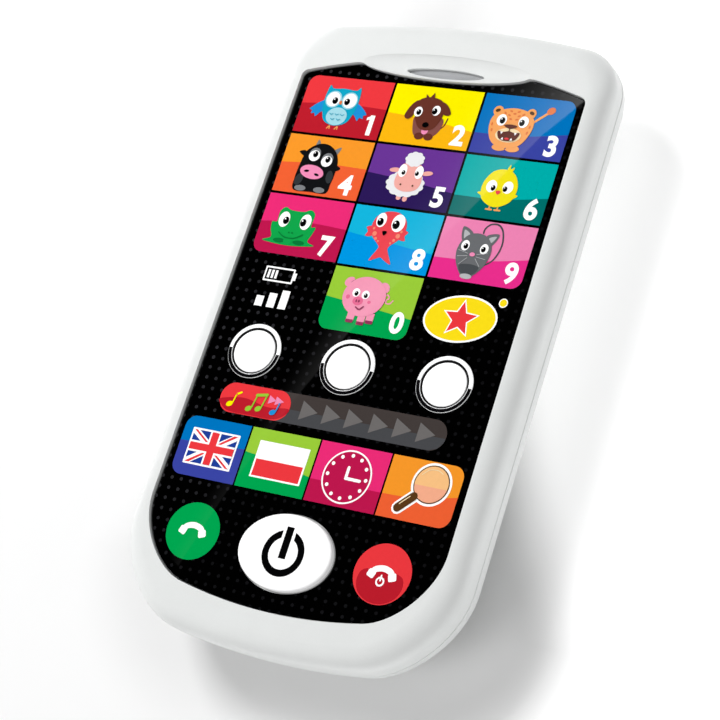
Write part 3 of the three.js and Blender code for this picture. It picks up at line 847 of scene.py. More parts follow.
# %% Owl and dog
wing = smooth([(-3.8, 1.2), (-5.6, 0.3), (-6.9, -1.0), (-6.3, -1.3), (-6.3, -2.0), (-5.5, -1.9),
               (-5.1, -2.6), (-4.4, -1.8), (-3.6, -0.9)])
on_key("owl", (-21.9, 46.1),
    ("tan", *[stroke([(x - 0.5, -4.9), (x, -4.3), (x + 0.1, -4.9)], 0.25) for x in (-0.9, 1.0)]),
    ("wing_blue", wing, flip(wing)),
    ("owl_blue", smooth([(-3.7, 4.7), (-2.7, 4.0), (0, 4.2), (2.7, 4.0), (3.7, 4.7), (4.1, 2.8),
                         (4.1, 0.6), (3.7, -1.4), (2.6, -3.4), (0, -4.2), (-2.6, -3.4),
                         (-3.7, -1.4), (-4.1, 0.6), (-4.1, 2.8)])),
    ("pale_blue", oval(-1.95, 1.6, 1.9), oval(1.95, 1.6, 1.9), oval(0, -2.1, 2.45, 2.0)),
    *eyes((-2.0, 1.6, 1.6, 1.6, 0.55, -0.3, 0.55), (2.0, 1.6, 1.6, 1.6, -0.55, -0.3, 0.55)),
    ("spot", oval(0, 1.0, 0.34, 0.45)),
    ("owl_blue", *[stroke([(x - 0.4, y), (x, y - 0.25), (x + 0.4, y)], 0.14)
                   for x, y in ((-1.3, -1.6), (0, -1.6), (1.3, -1.6), (-0.7, -2.7), (0.7, -2.7))]),
)
ear = smooth([(-3.0, 3.2), (-4.3, 2.2), (-5.2, 0.0), (-4.8, -0.9), (-3.9, -0.8), (-3.2, 0.4)])
on_key("dog", (-0.9, 46.2),
    ("brown", stroke([(3.4, -2.6), (4.4, -1.7), (4.8, 0.0)], 0.28)),
    ("soft_brown", smooth([(-2.4, 0), (-2.6, -2.4), (-1.6, -4.4), (0.6, -4.6), (2.6, -4.2),
                           (3.9, -2.4), (3.4, 0)])),
    ("brown", oval(-0.5, -4.4, 1.05, 0.75), oval(1.7, -4.4, 1.05, 0.75)),
    ("blush", oval(0.5, -3.2, 0.75, 0.75)),
    ("brown", smooth([(-3.2, 3.0), (-1.8, 4.0), (0.2, 4.2), (2.2, 3.7), (3.3, 2.6), (3.5, 0.8),
                      (3.1, -1.0), (2.2, -2.5), (0.5, -3.1), (-1.2, -2.6), (-2.5, -0.9), (-3.2, 1.2)])),
    ("brown", ear, smooth([(2.5, 3.4), (4.0, 2.7), (5.1, 1.2), (4.6, 0.6), (3.3, 0.9), (2.7, 2.0)])),
    ("brown", [(-1.5, 3.8), (-1.7, 4.8), (-0.8, 4.1)], [(-0.7, 4.0), (0.1, 5.3), (0.4, 4.0)]),
    *eyes((-2.3, 0.8, 0.95, 1.1, 0.15, -0.1, 0.45), (1.7, 1.4, 0.95, 1.1, -0.3, -0.2, 0.5)),
    ("black", oval(0.3, -1.9, 0.72, 0.56)),
)

# %% Leopard and bull
spots = [(-2.1, 2.9), (-0.9, 3.4), (0.8, 3.4), (2.0, 2.9), (-1.1, 2.5), (1.1, 2.5), (0, 2.9),
         (-4.3, 0.3), (-4.0, -1.0), (4.1, 0.4), (3.9, -0.9), (-0.6, 1.7), (0.8, 1.7)]
on_key("leopard", (18.4, 45.9),
    ("tan", stroke([(4.2, 1.2), (5.6, 2.4), (7.3, 3.9)], 0.5)),
    ("spot", oval(7.7, 4.3, 0.95, 0.75, 30)),
    ("tan", oval(-3.8, 3.2, 1.1), oval(3.6, 3.3, 1.05), oval(-1.2, -4.5, 1.6, 0.75),
     oval(1.7, -4.5, 1.6, 0.75)),
    ("tan", smooth([(-3.0, 3.5), (0, 4.1), (3.0, 3.5), (4.6, 1.9), (4.8, 0), (4.2, -2.0),
                    (3.1, -3.6), (1.4, -4.4), (-1.4, -4.4), (-3.2, -3.6), (-4.4, -1.9),
                    (-4.9, 0.2), (-4.6, 2.0)])),
    ("spot", *[oval(x, y, 0.36, 0.2, 20 * x) for x, y in spots]),
    ("handle", oval(-3.9, 3.3, 0.55, 0.35, 20), oval(3.7, 3.4, 0.55, 0.35, -20)),
    ("cream", oval(0, -1.8, 2.85, 1.55)),
    *eyes((-2.4, 1.3, 1.1, 1.25, 0.2, -0.1, 0.5), (2.5, 1.3, 1.1, 1.25, -0.3, -0.2, 0.5)),
    ("mouth", smooth([(-1.5, 0.25), (0, 0.5), (1.5, 0.25), (0.5, -0.35), (-0.5, -0.35)]),
     smooth([(-2.45, -1.15), (-1.2, -1.2), (0, -0.95), (1.2, -1.2), (2.45, -1.15), (2.0, -2.5),
             (0.9, -3.05), (-0.9, -3.05), (-2.0, -2.5)])),
    ("mouth", straight([(0, -0.2), (0, -1.1)], 0.2)),
    ("white", *[[(side * x, y) for x, y in tooth]
                for tooth in (((1.85, -1.2), (1.25, -1.2), (1.55, -1.75)),
                              ((1.3, -2.85), (1.0, -2.35), (0.7, -2.9))) for side in (-1, 1)]),
    ("red", oval(0, -2.62, 0.5, 0.22)),
)
on_key("bull", (-22.3, 32.3),
    ("grey", smooth([(-2.0, 4.6), (-1.7, 6.2), (-0.9, 4.9)]),
     smooth([(2.5, 4.0), (4.2, 5.0), (3.5, 3.2)])),
    ("coal", smooth([(-3.8, 2.2), (-5.4, 3.1), (-4.0, 3.5)]),
     smooth([(3.8, 1.2), (5.5, 0.4), (4.2, -0.3)])),
    ("coal", smooth([(-4.2, 1.6), (-3.6, 3.6), (-1.6, 5.1), (0.8, 5.3), (3.0, 4.1), (4.3, 2.0),
                     (4.6, -0.6), (4.4, -3.0), (3.9, -5.3), (0, -5.4), (-3.9, -5.3), (-4.5, -2.6)])),
    ("iron", oval(-3.4, -2.9, 0.9, 1.4, -15), oval(3.6, -1.7, 0.8, 1.4, 10)),
    ("grey", oval(-2.4, -4.8, 1.35, 0.62), oval(2.2, -4.8, 1.35, 0.62)),
    ("grey", oval(-1.5, 2.9, 1.35, 1.4), oval(1.8, 2.1, 1.35, 1.35)),
    *eyes((-1.5, 2.5, 1.3, 1.2, 0.2, 0.35, 0.5), (1.8, 1.6, 1.3, 1.2, 0.2, 0.4, 0.5)),
    ("blush", oval(-0.8, -1.1, 2.9, 1.5, -8)),
    ("black", oval(-2.1, -1.0, 0.6, 0.26, 5), oval(0.5, -1.6, 0.6, 0.26, -12)),
)


# %% Sheep and chick
def woolly(x, y, rx, ry, lobes, depth):
    """An oval edge with soft lobes."""
    out = []
    for i in range(lobes * 10):
        a = 2 * pi * i / (lobes * 10)
        swell = 1 + depth * abs(sin(lobes * a / 2))
        out.append((x + rx * swell * cos(a), y + ry * swell * sin(a)))
    return out


on_key("sheep", (-0.5, 33.0),
    ("skin", oval(-0.9, -4.7, 0.55, 0.6), oval(0.6, -4.9, 0.55, 0.6)),
    ("wool", woolly(-0.4, -1.7, 4.1, 2.7, 13, 0.09)),
    ("skin", oval(-3.7, 1.0, 1.2, 0.5, 5), oval(3.9, 1.0, 1.25, 0.5, 8)),
    ("skin", smooth([(-2.2, 2.4), (0, 2.8), (2.3, 2.4), (2.8, 0.8), (3.1, -1.3), (2.3, -2.8),
                     (0, -3.4), (-2.2, -2.8), (-3.0, -1.3), (-2.7, 0.8)])),
    ("wool", woolly(0.1, 3.7, 2.0, 1.5, 9, 0.12)),
    *eyes((-1.8, 1.0, 0.95, 1.4, 0.3, -0.4, 0.36), (2.0, 1.0, 0.95, 1.4, -0.4, -0.3, 0.36)),
    ("handle", oval(-1.3, -2.0, 0.2), oval(1.5, -2.0, 0.2)),
)
on_key("chick", (20.2, 32.8),
    ("tan", *[straight([(x, -3.8), (x, -4.4)], 0.3) for x in (-0.9, 0.9)]),
    ("tan", *[straight([(x - 0.6, -4.55), (x + 0.6, -4.55)], 0.36) for x in (-0.95, 0.95)]),
    ("chick", smooth([(-3.4, -1.0), (-4.5, -1.3), (-3.5, -1.8)]),
     smooth([(3.4, -0.9), (4.4, -1.1), (3.5, -1.8)]),
     smooth([(0.4, 3.6), (0.9, 5.2), (1.2, 4.3), (1.9, 4.7), (1.5, 3.4)])),
    ("chick", smooth([(0, 4.1), (2.2, 3.5), (3.6, 1.6), (3.9, -0.6), (2.9, -2.8), (0, -4.0),
                      (-2.9, -2.8), (-3.9, -0.6), (-3.6, 1.6), (-2.2, 3.5)])),
    *eyes((-1.8, 0.3, 1.15, 1.3, 0.45, -0.35, 0.42), (1.8, 0.4, 1.15, 1.3, -0.5, -0.4, 0.42)),
    ("fish", smooth([(-0.55, -0.7), (0, -0.45), (0.55, -0.7), (0, -1.35)])),
)

# %% Frog and fish
on_key("frog", (-23.3, 18.9),
    ("leaf", smooth([(-6.2, -3.5), (-4.0, -3.9), (0, -4.1), (4.2, -3.8), (6.3, -3.4), (4.6, -2.7),
                     (5.1, -1.0), (5.4, 0.5), (4.3, 0.6), (4.3, 3.2), (3.1, 4.1), (1.7, 3.6), (0, 3.5),
                     (-1.7, 3.6), (-3.1, 4.1), (-4.1, 3.0), (-4.1, 0.8), (-5.2, 0.6), (-5.0, -1.0),
                     (-4.4, -2.7)])),
    ("dark_leaf", oval(-2.2, -3.2, 1.4, 0.5), oval(2.6, -3.2, 1.4, 0.5)),
    ("leaf", oval(0, -3.1, 1.1, 0.9)),
    *eyes((-2.5, 1.4, 1.3, 1.7, 0.5, -0.2, 0.6), (2.7, 1.4, 1.3, 1.7, -0.5, -0.2, 0.6)),
    ("dark_leaf", stroke([(-2.8, -1.5), (-1.4, -2.3), (0, -2.5), (1.5, -2.3), (3.0, -1.4)], 0.2),
     oval(-0.4, -1.3, 0.16), oval(0.4, -1.3, 0.16)),
)
fin = smooth([(-3.2, 1.6), (-4.8, 1.3), (-4.3, 0.4), (-4.6, -0.6), (-3.0, -0.3)])
on_key("fish", (-1.4, 19.9),
    ("fish", fin, flip(fin)),
    ("fish", smooth([(-3.8, 1.8), (-3.2, 3.8), (-1.6, 4.9), (0.2, 5.2), (2.0, 4.9), (3.5, 3.8),
                     (4.1, 1.8), (3.3, -0.4), (1.5, -2.3), (1.7, -3.4), (3.1, -5.8), (1.6, -5.3),
                     (0.4, -4.7), (-0.8, -5.2), (-2.0, -5.6), (-0.9, -3.2), (-0.9, -2.3),
                     (-3.0, -0.4)])),
    ("coral", *[oval(x, y, r) for x, y, r in (
        (-2.6, 0.1, 0.5), (-2.0, -0.9, 0.32), (-3.1, 1.2, 0.28), (-1.3, -1.4, 0.24), (2.8, 0.2, 0.5),
        (2.2, -0.8, 0.32), (3.3, 1.2, 0.28), (1.6, -1.5, 0.24))]),
    *eyes((-2.0, 3.1, 1.15, 1.55, -0.1, -0.4, 0.6), (2.0, 2.9, 1.5, 1.9, -0.4, -0.4, 0.68)),
    ("black", smooth([(-1.0, 0.7), (-0.4, 0.9), (0.1, 0.7), (-0.4, -0.1)])),
)

# %% Mouse and pig
whisker = [[(-1.0, -0.6), (-3.2, -0.1)], [(-1.0, -1.1), (-3.1, -1.4)], [(-0.9, -1.5), (-2.3, -3.0)]]
on_key("mouse", (19.0, 19.2),
    ("slate", stroke([(0.9, 4.0), (1.0, 5.0), (2.0, 6.0), (3.6, 6.1), (4.9, 4.9), (5.6, 2.6), (5.4, 0.4),
                      (4.5, -1.5), (3.0, -2.6)], 0.34)),
    ("mouse", smooth([(-3.2, 2.0), (-3.8, 4.9), (-1.2, 3.6)]),
     smooth([(3.4, 1.6), (4.5, 4.1), (1.8, 3.5)])),
    ("silver", smooth([(-2.9, 2.4), (-3.3, 4.2), (-1.9, 3.4)]),
     smooth([(3.2, 2.2), (4.0, 3.6), (2.5, 3.1)])),
    ("mouse", smooth([(0, 3.8), (-2.0, 3.3), (-3.3, 1.7), (-3.7, -0.4), (-3.0, -2.8), (-1.4, -5.0),
                      (0, -5.6), (1.4, -5.0), (3.1, -2.9), (3.8, -0.3), (3.4, 1.8), (2.0, 3.3)])),
    ("slate", smooth([(-2.2, -3.2), (0, -2.7), (2.2, -3.2), (1.2, -4.8), (-1.2, -4.8)])),
    ("silver", oval(0, -5.3, 1.3, 0.55)),
    *eyes((-2.1, 1.0, 0.9, 1.1, 0.15, -0.15, 0.42), (2.2, 0.7, 0.9, 1.1, -0.15, -0.1, 0.42)),
    ("blush", oval(0, -0.7, 0.6, 0.42)),
    ("silver", *[straight(w, 0.11) for w in whisker], *[straight(flip(w), 0.11) for w in whisker]),
)
on_key("pig", (-1.8, 5.9),
    ("pig", stroke([(4.2, 0.8), (5.2, 1.8), (5.8, 1.2), (5.3, 0.7), (5.4, 0.1), (6.3, 0.1),
                    (6.8, 0.8)], 0.28)),
    ("pig", oval(-4.1, 3.4, 1.2, 0.95, 35), oval(4.1, 3.1, 1.25, 1.05, -40)),
    ("wine", stroke([(-3.7, 2.7), (-3.6, 3.3), (-3.0, 3.8)], 0.3),
     stroke([(4.1, 1.9), (3.9, 2.9), (3.2, 3.6)], 0.34)),
    ("pig", *[rounded(x - 0.85, -4.7, x + 0.85, -2.5, (0.3, 0.3, 0, 0)) for x in (-1.4, 1.1, 3.0)]),
    ("wine", *[rounded(x - 0.85, y - 0.35, x + 0.85, y + 0.35, (0.25, 0.25, 0.1, 0.1))
               for x, y in ((-1.45, -4.7), (1.1, -4.9), (3.05, -4.4))]),
    ("pig", oval(0.2, 0.7, 4.9, 4.2)),
    ("snout", oval(-0.9, -0.4, 1.2, 0.9), oval(-3.4, 0.2, 0.45), oval(1.7, -0.3, 0.4, 0.35)),
    *eyes((-1.8, 1.3, 0.88, 0.9, 0.1, -0.2, 0.36), (0.45, 1.1, 0.88, 0.9, 0.1, -0.2, 0.36)),
    ("wine", oval(-1.2, -0.4, 0.15, 0.3), oval(-0.6, -0.4, 0.15, 0.3),
     stroke([(-0.9, -1.7), (0.0, -2.1), (0.8, -1.4)], 0.3)),
)
print("animals printed")

# %% [markdown]
# ### Signs and icons
#
# A battery gauge, signal bars, a plain star badge, the music bar, and the pictures on the four lower
# keys: two language flags, a clock and a magnifying glass.

# %% Battery, signal bars and badge
picture("battery_sign", (-22.3, 8.4), [
    ("white", rounded(-3.9, -1.6, 3.2, 1.6, 0.2), rounded(-3.55, -1.25, 2.85, 1.25, 0.1)),
    ("white", rounded(3.2, -0.8, 3.8, 0.8, 0.1), *[
        rounded(x, -0.9, x + 0.55, 0.9) for x in (-3.1, -2.2, -1.3)]),
])
picture("signal_bars", (-22.3, 1.3), [
    ("white", *[rounded(x, 0, x + 1.85, h) for x, h in ((-3.9, 2.2), (-1.0, 3.1), (1.8, 4.0))]),
])


def star(outer, inner):
    """A five-pointed star."""
    return [((outer, inner)[i % 2] * cos(radians(90 + 36 * i)),
             (outer, inner)[i % 2] * sin(radians(90 + 36 * i))) for i in range(10)]


picture("star_badge", (20.7, 5.2), [
    ("white", oval(0, 0, 8.0, 4.9, 6)),
    ("star", oval(0, 0, 7.6, 4.5, 6)),
    ("white", star(4.2, 1.9)),
    ("red", star(3.6, 1.6)),
])
picture("badge_dot", (28.8, 9.7), [("white", oval(0, 0, 0.95)), ("star", oval(0, 0, 0.75))])


# %% Music bar
def pill(x0, x1, half):
    return rounded(x0, -half, x1, half, half - 0.01, 12)


def note(x, y, high):
    """A note's head and its stem."""
    return [oval(x, y, 0.75, 0.55, 25),
            straight([(x + 0.6, y + 0.1), (x + 0.6 + high * 0.2, y + high)], 0.3)]


head_a, stem_a = note(-23.9, -1.4, 2.3)
head_b, stem_b = note(-19.2, -1.7, 3.2)
head_c, stem_c = note(-17.0, -1.4, 3.2)
head_d, stem_d = note(-13.4, -1.6, 2.0)
picture("music_bar", (0, -18.45), [
    ("smoke", pill(-26.6, 25.8, 3.15)),
    ("ash", [(-20, -3.14), (22.7, -3.14), (24.6, -2.5), (25.6, -1.2), (25.75, -0.3), (-20, -0.3)]),
    ("pebble", *[[(x - 1.9, -2.0), (x + 2.0, 0), (x - 1.9, 2.0)]
                 for x in (-5.4, -0.1, 5.1, 10.8, 16.1, 21.4)]),
    ("red", pill(-26.6, -9.9, 3.15)),
    ("dark_red", smooth([(-26.3, -0.6), (-21, 0.3), (-15, -0.7), (-10.2, -0.3), (-10.6, -1.7),
                         (-12.9, -2.9), (-18, -3.0), (-23.6, -2.9), (-25.9, -1.7)])),
    ("blush", [(-15.2, 0.0), (-13.4, 0.9), (-15.2, 1.8)], [(-13.6, 0.0), (-11.6, 0.9), (-13.6, 1.8)]),
    ("yellow", head_a), ("yellow", stem_a, straight([(-22.8, 0.8), (-21.9, 1.3)], 0.4)),
    ("lime", head_b, head_c), ("lime", stem_b), ("lime", stem_c),
    ("lime", straight([(-18.1, 1.3), (-15.8, 1.7)], 0.6)),
    ("wing_blue", head_d), ("wing_blue", stem_d),
])

# %% Flags, clock and magnifier
flag_w, flag_h = 5.3, 3.4


def cross(x, y):
    """An upright cross over the whole flag, from its half widths."""
    return [(-flag_w, -y), (-x, -y), (-x, -flag_h), (x, -flag_h), (x, -y), (flag_w, -y),
            (flag_w, y), (x, y), (x, flag_h), (-x, flag_h), (-x, y), (-flag_w, y)]


slash = [(-5.3, -3.4), (-4.0, -3.4), (5.3, 2.6), (5.3, 3.4), (4.0, 3.4), (-5.3, -2.6)]
on_key("flag_english", (-24.5, -29.7),
    ("white", rounded(-flag_w - 0.4, -flag_h - 0.4, flag_w + 0.4, flag_h + 0.4, 0.2)),
    ("navy", rounded(-flag_w, -flag_h, flag_w, flag_h)),
    ("white", slash),
    ("white", [(x, -y) for x, y in slash]),
    ("red", *[[(a * x, b * y) for x, y in ((5.3, 3.4), (tip, 3.4), (0.9, 1.0), (1.6, 1.0))]
              for a, b, tip in ((-1, 1, 4.6), (1, -1, 4.6), (1, 1, 4.3), (-1, -1, 4.3))]),
    ("white", cross(1.25, 1.15)),
    ("red", cross(0.85, 0.75)),
)
on_key("flag_polish", (-8.1, -29.7),
    ("white", rounded(-5.9, -3.8, 5.9, 3.8, 0.15)),
    ("red", rounded(-5.5, -3.45, 5.5, 0)),
)
on_key("clock", (7.5, -29.8),
    ("white", oval(0, 0, 5.45, n=72)),
    ("crimson", oval(0, 0, 5.12, n=72)),
    ("white", *[oval(4.35 * cos(radians(a)), 4.35 * sin(radians(a)), 0.38, n=20)
                for a in range(0, 360, 30)]),
    ("white", straight([(-0.1, -0.3), (-0.1, 1.9)], 0.62)),
    ("white", straight([(-0.1, -0.3), (3.1, -0.35)], 0.62)),
)
grip_a, grip_b = (-2.9, -2.9), (-5.6, -5.6)
on_key("magnifier", (25.9, -28.0),
    ("white", oval(0, 0, 4.3, n=64)),
    ("white", straight([grip_a, grip_b], 2.6)),
    ("handle", oval(0, 0, 3.82, n=64)),
    ("peach", oval(0, 0, 3.6, n=64)),
    ("salmon", [(3.6 * cos(radians(a)), 3.6 * sin(radians(a))) for a in range(-172, -7, 4)]),
    ("handle", straight([grip_a, grip_b], 1.75)),
    ("cream", stroke([(-2.5, 1.6), (-1.2, 2.7), (0.6, 2.9), (1.8, 2.4)], 0.16),
     straight([(-3.6, -3.0), (-5.4, -4.8)], 0.2)),
)

# %% Call keys
handset = stroke([(-2.35, -0.1), (-1.6, 0.8), (0, 1.2), (1.6, 0.8), (2.35, -0.1)], 1.2)


def ear_piece(side, lift=0.0):
    """One squarish end of the handset, turned a little outwards."""
    c, t = cos(radians(20 * side)), sin(radians(20 * side))
    return [(side * 2.3 + x * c - y * t, lift - 0.15 + x * t + y * c)
            for x, y in rounded(-0.85, -0.8, 0.85, 0.75, 0.35, 5)]


picture("call_key", (-22.4, -46.6), [
    ("green", oval(0, 0, 6.15, 5.88, n=80)),
    ("white", handset),
    ("white", ear_piece(-1), ear_piece(1)),
])
picture("end_key", (21.6, -46.7), [
    ("red", oval(0, 0, 6.2, 6.0, n=80)),
    ("dark_red", smooth([(-5.0, -1.4), (-3.4, 0.5), (3.4, 0.5), (5.0, -1.4), (4.2, -4.0),
                         (1.6, -5.6), (-1.6, -5.6), (-4.2, -4.0)])),
    ("white", [(x, y - 0.1) for x, y in handset]),
    ("white", ear_piece(-1, -0.1), ear_piece(1, -0.1), oval(0, -1.5, 0.95), oval(0, -1.5, 0.6)),
    ("white", straight([(0, -1.3), (0, -0.3)], 0.34)),
])
print("signs and icons printed")

# %% [markdown]
# ## Light windows and their chrome rings
#
# Each lamp shines through a frosted white lens, which also glows a little: painted light that keeps
# it evenly white. Round it is a plated ring with a painted reflection: its upper half is painted bright
# and glowing, like the bright room mirrored, and its lower half painted dark, like the dark face
# mirrored, which gives it a sharp two-tone look. A thin dark line round the lens is painted shade.

# %% Lens and ring finishes
# Painted light: the lens glows a little, so it looks evenly white with no shading over its dome.
lens_frost_glow = Finish("lens_white", (0.95, 0.955, 0.96), roughness=0.35, coat_weight=0.3, coat_roughness=0.1,
               emission_strength=0.22, emission_color=(1, 1, 1, 1))
lens_frost_glow.put("Base Color", lens_frost_glow.blend(lens_frost_glow.grain(1.5, 2), (0.93, 0.935, 0.94), (0.98, 0.98, 0.985)))
lens_frost_glow.bump(lens_frost_glow.grain(0.25, 2), 0.01, 0.4)
chrome = Finish("ring_chrome", (0.86, 0.87, 0.88), roughness=0.12)
cx, cy, _ = chrome.axes()
SPACING = LIGHTS["right"] - LIGHTS["middle"]
aside = cx - LIGHTS["middle"] * MM
from_x = aside - (SPACING * MM) * aside.math("ROUND", aside / (SPACING * MM))
from_y = (cy - LIGHT_Y * MM) / SQUASH
away = from_x.reach(from_y)
# Painted reflection: the lower half of the ring is painted near black, as if it mirrored the dark face.
painted_dark_reflection = (from_y < 0) * (away < 0.006) * (away > 0.00527)
# Painted shade: a thin dark line round the lens, a little wider on the upper half, stands for the shade
# in the gap between lens and ring.
groove = (away < 0.00512) + (from_y > 0) * (away < 0.00524)
dark = painted_dark_reflection.math("MINIMUM", painted_dark_reflection + groove, 1.0)
chrome.put("Base Color", chrome.blend(dark, (0.95, 0.955, 0.96), (0.004, 0.004, 0.005)))
# Painted highlight: the upper half glows a little, as if it mirrored the bright room.
chrome.put("Emission Color", chrome.blend((from_y > 0) * (1 - dark), (0, 0, 0), (1, 1, 1)))
chrome.put("Emission Strength", 0.3)
chrome.put("Metallic", 0.15 + chrome.grain(2, 1) * 0.1)
chrome.put("Roughness", 0.14 + chrome.grain(0.6, 2) * 0.08)

# %% Lenses and rings
def squash(piece):
    """Make a round piece a little less tall, about the lights' own line."""
    edit(piece)
    bpy.ops.transform.resize(value=(1, SQUASH, 1), center_override=(0, LIGHT_Y * MM, 0))
    bpy.ops.object.mode_set(mode="OBJECT")


for side, x in LIGHTS.items():
    lens = turned(f"light_lens_{side}_dome", [
        (0, 14.5), (5.7, 14.5), (5.7, 15.4), (LENS_R, 15.4), (LENS_R, 19.3), (LENS_R - 0.05, 19.4),
        (LENS_R - 0.18, 19.45), (4.0, 19.48), (2.4, 19.49), (0, 19.5)], x, LIGHT_Y)
    squash(lens)
    settle(lens, 40)
    fit(lens, lens_frost_glow, "phone", f"light_lens_{side}")
    ring = turned(f"light_ring_{side}_bezel", [
        (4.78, 17.4), (5.98, 17.4), (5.98, FACE_Z + 0.02), (6.1, FACE_Z + 0.02), (6.1, 19.4),
        (6.06, 19.45), (6.0, 19.47), (5.2, 19.47), (5.12, 19.46), (5.08, 19.4), (5.04, 19.3),
        (4.78, 19.28), (4.78, 17.4)], x, LIGHT_Y)
    squash(ring)
    settle(ring, 50)
    fit(ring, chrome, "phone", f"light_ring_{side}")

# %% [markdown]
# ## Power button
#
# A white oval dome that stands a little above the face, printed with the usual broken ring and bar.

# %% Button
# Painted light: the button glows a little, so its dome looks flat white with hardly any shading.
button_white = Finish("button_white", roughness=0.3, coat_weight=0.2, coat_roughness=0.1,
                      emission_strength=0.18, emission_color=(1, 1, 1, 1))
button_white.put("Base Color", button_white.blend(
    button_white.grain(4, 2), tint("F9F9FA"), tint("FFFFFF")))
button_white.bump(button_white.grain(0.3, 2), 0.01, 0.4)
width, depth, z = POWER_RX + 1.5, POWER_RY + 1.5, 14.0  # the flange that holds the button in
button = primitive("power_button_cap", bpy.ops.mesh.primitive_circle_add,
                   (width * MM, depth * MM, 1), vertices=96, radius=1, fill_type="NGON",
                   location=(0, POWER_Y * MM, z * MM))
edit(button, "FACE")
for inset, top in ((-1.5, 15.45), (0, 15.46), (0, 20.1), (0.06, 20.25), (0.2, 20.4), (0.45, 20.5),
                   (0.9, 20.56), (2.4, 20.59), (5.0, 20.6)):
    new_w, new_d = POWER_RX - inset, POWER_RY - inset
    bpy.ops.mesh.extrude_region_move(TRANSFORM_OT_translate={"value": (0, 0, (top - z) * MM)})
    bpy.ops.transform.resize(value=(new_w / width, new_d / depth, 1),
                             center_override=(0, POWER_Y * MM, 0))
    width, depth, z = new_w, new_d, top
bpy.ops.object.mode_set(mode="OBJECT")
settle(button, 40)
fit(button, button_white, "button", "power_button")

# %% Power sign
SIGN_R, SIGN_WIDE, SIGN_GAP = 3.95, 0.72, 1.45


def sign_arc(r):
    """Points from one side of the gap round to the other."""
    start = atan2((r * r - SIGN_GAP ** 2) ** 0.5, -SIGN_GAP)
    sweep = 3 * pi - 2 * start
    return [(r * cos(start + sweep * i / 60), r * sin(start + sweep * i / 60) - 0.35) for i in range(61)]


picture("power_sign", (0, POWER_Y), [
    ("black", sign_arc(SIGN_R + SIGN_WIDE) + sign_arc(SIGN_R - SIGN_WIDE)[::-1]),
    ("black", rounded(-0.8, -1.4, 0.8, 5.0, 0.05)),
], base=20.6, body="button")

# %% [markdown]
# ## Earpiece mesh
#
# Behind the slot lies a strip of grey woven cloth. It is a shallow oval pillow: an oval plate whose
# upper edge is rounded over, with the weave in its finish because each thread is finer than a hair.

# %% Earpiece mesh
# Painted light: the cloth glows faintly, which lightens the shade that would fill the slot.
cloth = Finish("mesh_grey", roughness=0.8, emission_strength=0.05, emission_color=(1, 1, 1, 1))
mx, my, _ = cloth.axes()
THREAD = 0.42 * MM
weave = mx.math("SINE", mx * (2 * pi / THREAD)) * my.math("SINE", my * (2 * pi / THREAD))
cloth.put("Base Color", cloth.blend(weave * 0.5 + 0.5, tint("8F9194"), tint("B9BABD")))
cloth.bump(weave, 0.03, 0.6)
strip = plate("earpiece_cloth", [oval(0, SLOT_Y, 8.85, SLOT_RY - 0.12, n=64)], 15.2, 18.5)
bevel_where(strip, 0.35, lambda p: p.z > 18.4, 3)
settle(strip, 40)
fit(strip, cloth, "phone", "earpiece_mesh")

# %% [markdown]
# ## Rear casing
#
# The back half is one moulding: a thin swept shell with a lip that the front casing drops over. Inside
# stand the four screw posts, the battery bay, the seat of the battery door and a ring for the speaker.
# It is built as a hollow hull, then the ribs are joined on and the rooms and holes are cut out.

# %% Rear casing shell and its inner walls
outer = back_levels(0, 0)
rear = hull("rear_casing_shell", outer[:-1] + [(0, PART_Z - 0.22), (0.22, PART_Z - 0.02)])
cut(rear, hull("hollow", back_levels(WALL, WALL) + [(WALL, PART_Z + 1)]))
lip = hull("lip", [(WALL + 0.5, 11), (WALL + 0.5, 15.2)])
cut(lip, hull("lip_room", [(WALL + 1.7, 10), (WALL + 1.7, 16)]))
BAY_X, BAY_LOW, BAY_HIGH, BAY_TOP, BAY_WALL = 11.5, -0.9, 47.4, 13.1, 1.3
DOOR_X, DOOR_LOW, HINGE_Y, HINGE_Z, DOOR_THICK, GAP = 13.6, -9.6, 48.4, 1.05, 1.78, 0.25
DOOR_SCREW_Y, SWITCH_Y, SPEAKER_Y, SPEAKER_R = -6.0, -16.5, -37.5, 14.0
CELL_R, CELL_LENGTH, CELL_X, CELL_Z = 5.25, 44.5, 5.7, 7.6
bay_side = BAY_X + BAY_WALL
inside = [
    block("bay", -bay_side, bay_side, BAY_LOW - BAY_WALL, BAY_HIGH + BAY_WALL, 1, BAY_TOP + BAY_WALL),
    block("seat", -BAY_X - 4, BAY_X + 4, DOOR_LOW - 2, BAY_HIGH + 4.6, 0.9, 3.4),
    rod("cup", 0, DOOR_SCREW_Y, 4.2, 0.8, 7.1),
    rod("speaker_ring", 0, SPEAKER_Y, SPEAKER_R + 1.3, 1.1, 4.6, 64),
    block("switch_pad", -9.5, 9.5, SWITCH_Y - 4.6, SWITCH_Y + 4.6, 1.2, 3.4),
    *[rod("post", x, y, 4.2, 0.6, PART_Z - 0.6) for x, y in POSTS]]
for rib in inside:
    cut(rib, hull("back_form", back_levels(1, 1)), "INTERSECT")
    cut(rear, rib, "UNION")
cut(rear, lip, "UNION")
print("rear casing faces before its rooms are cut:", len(rear.data.polygons))

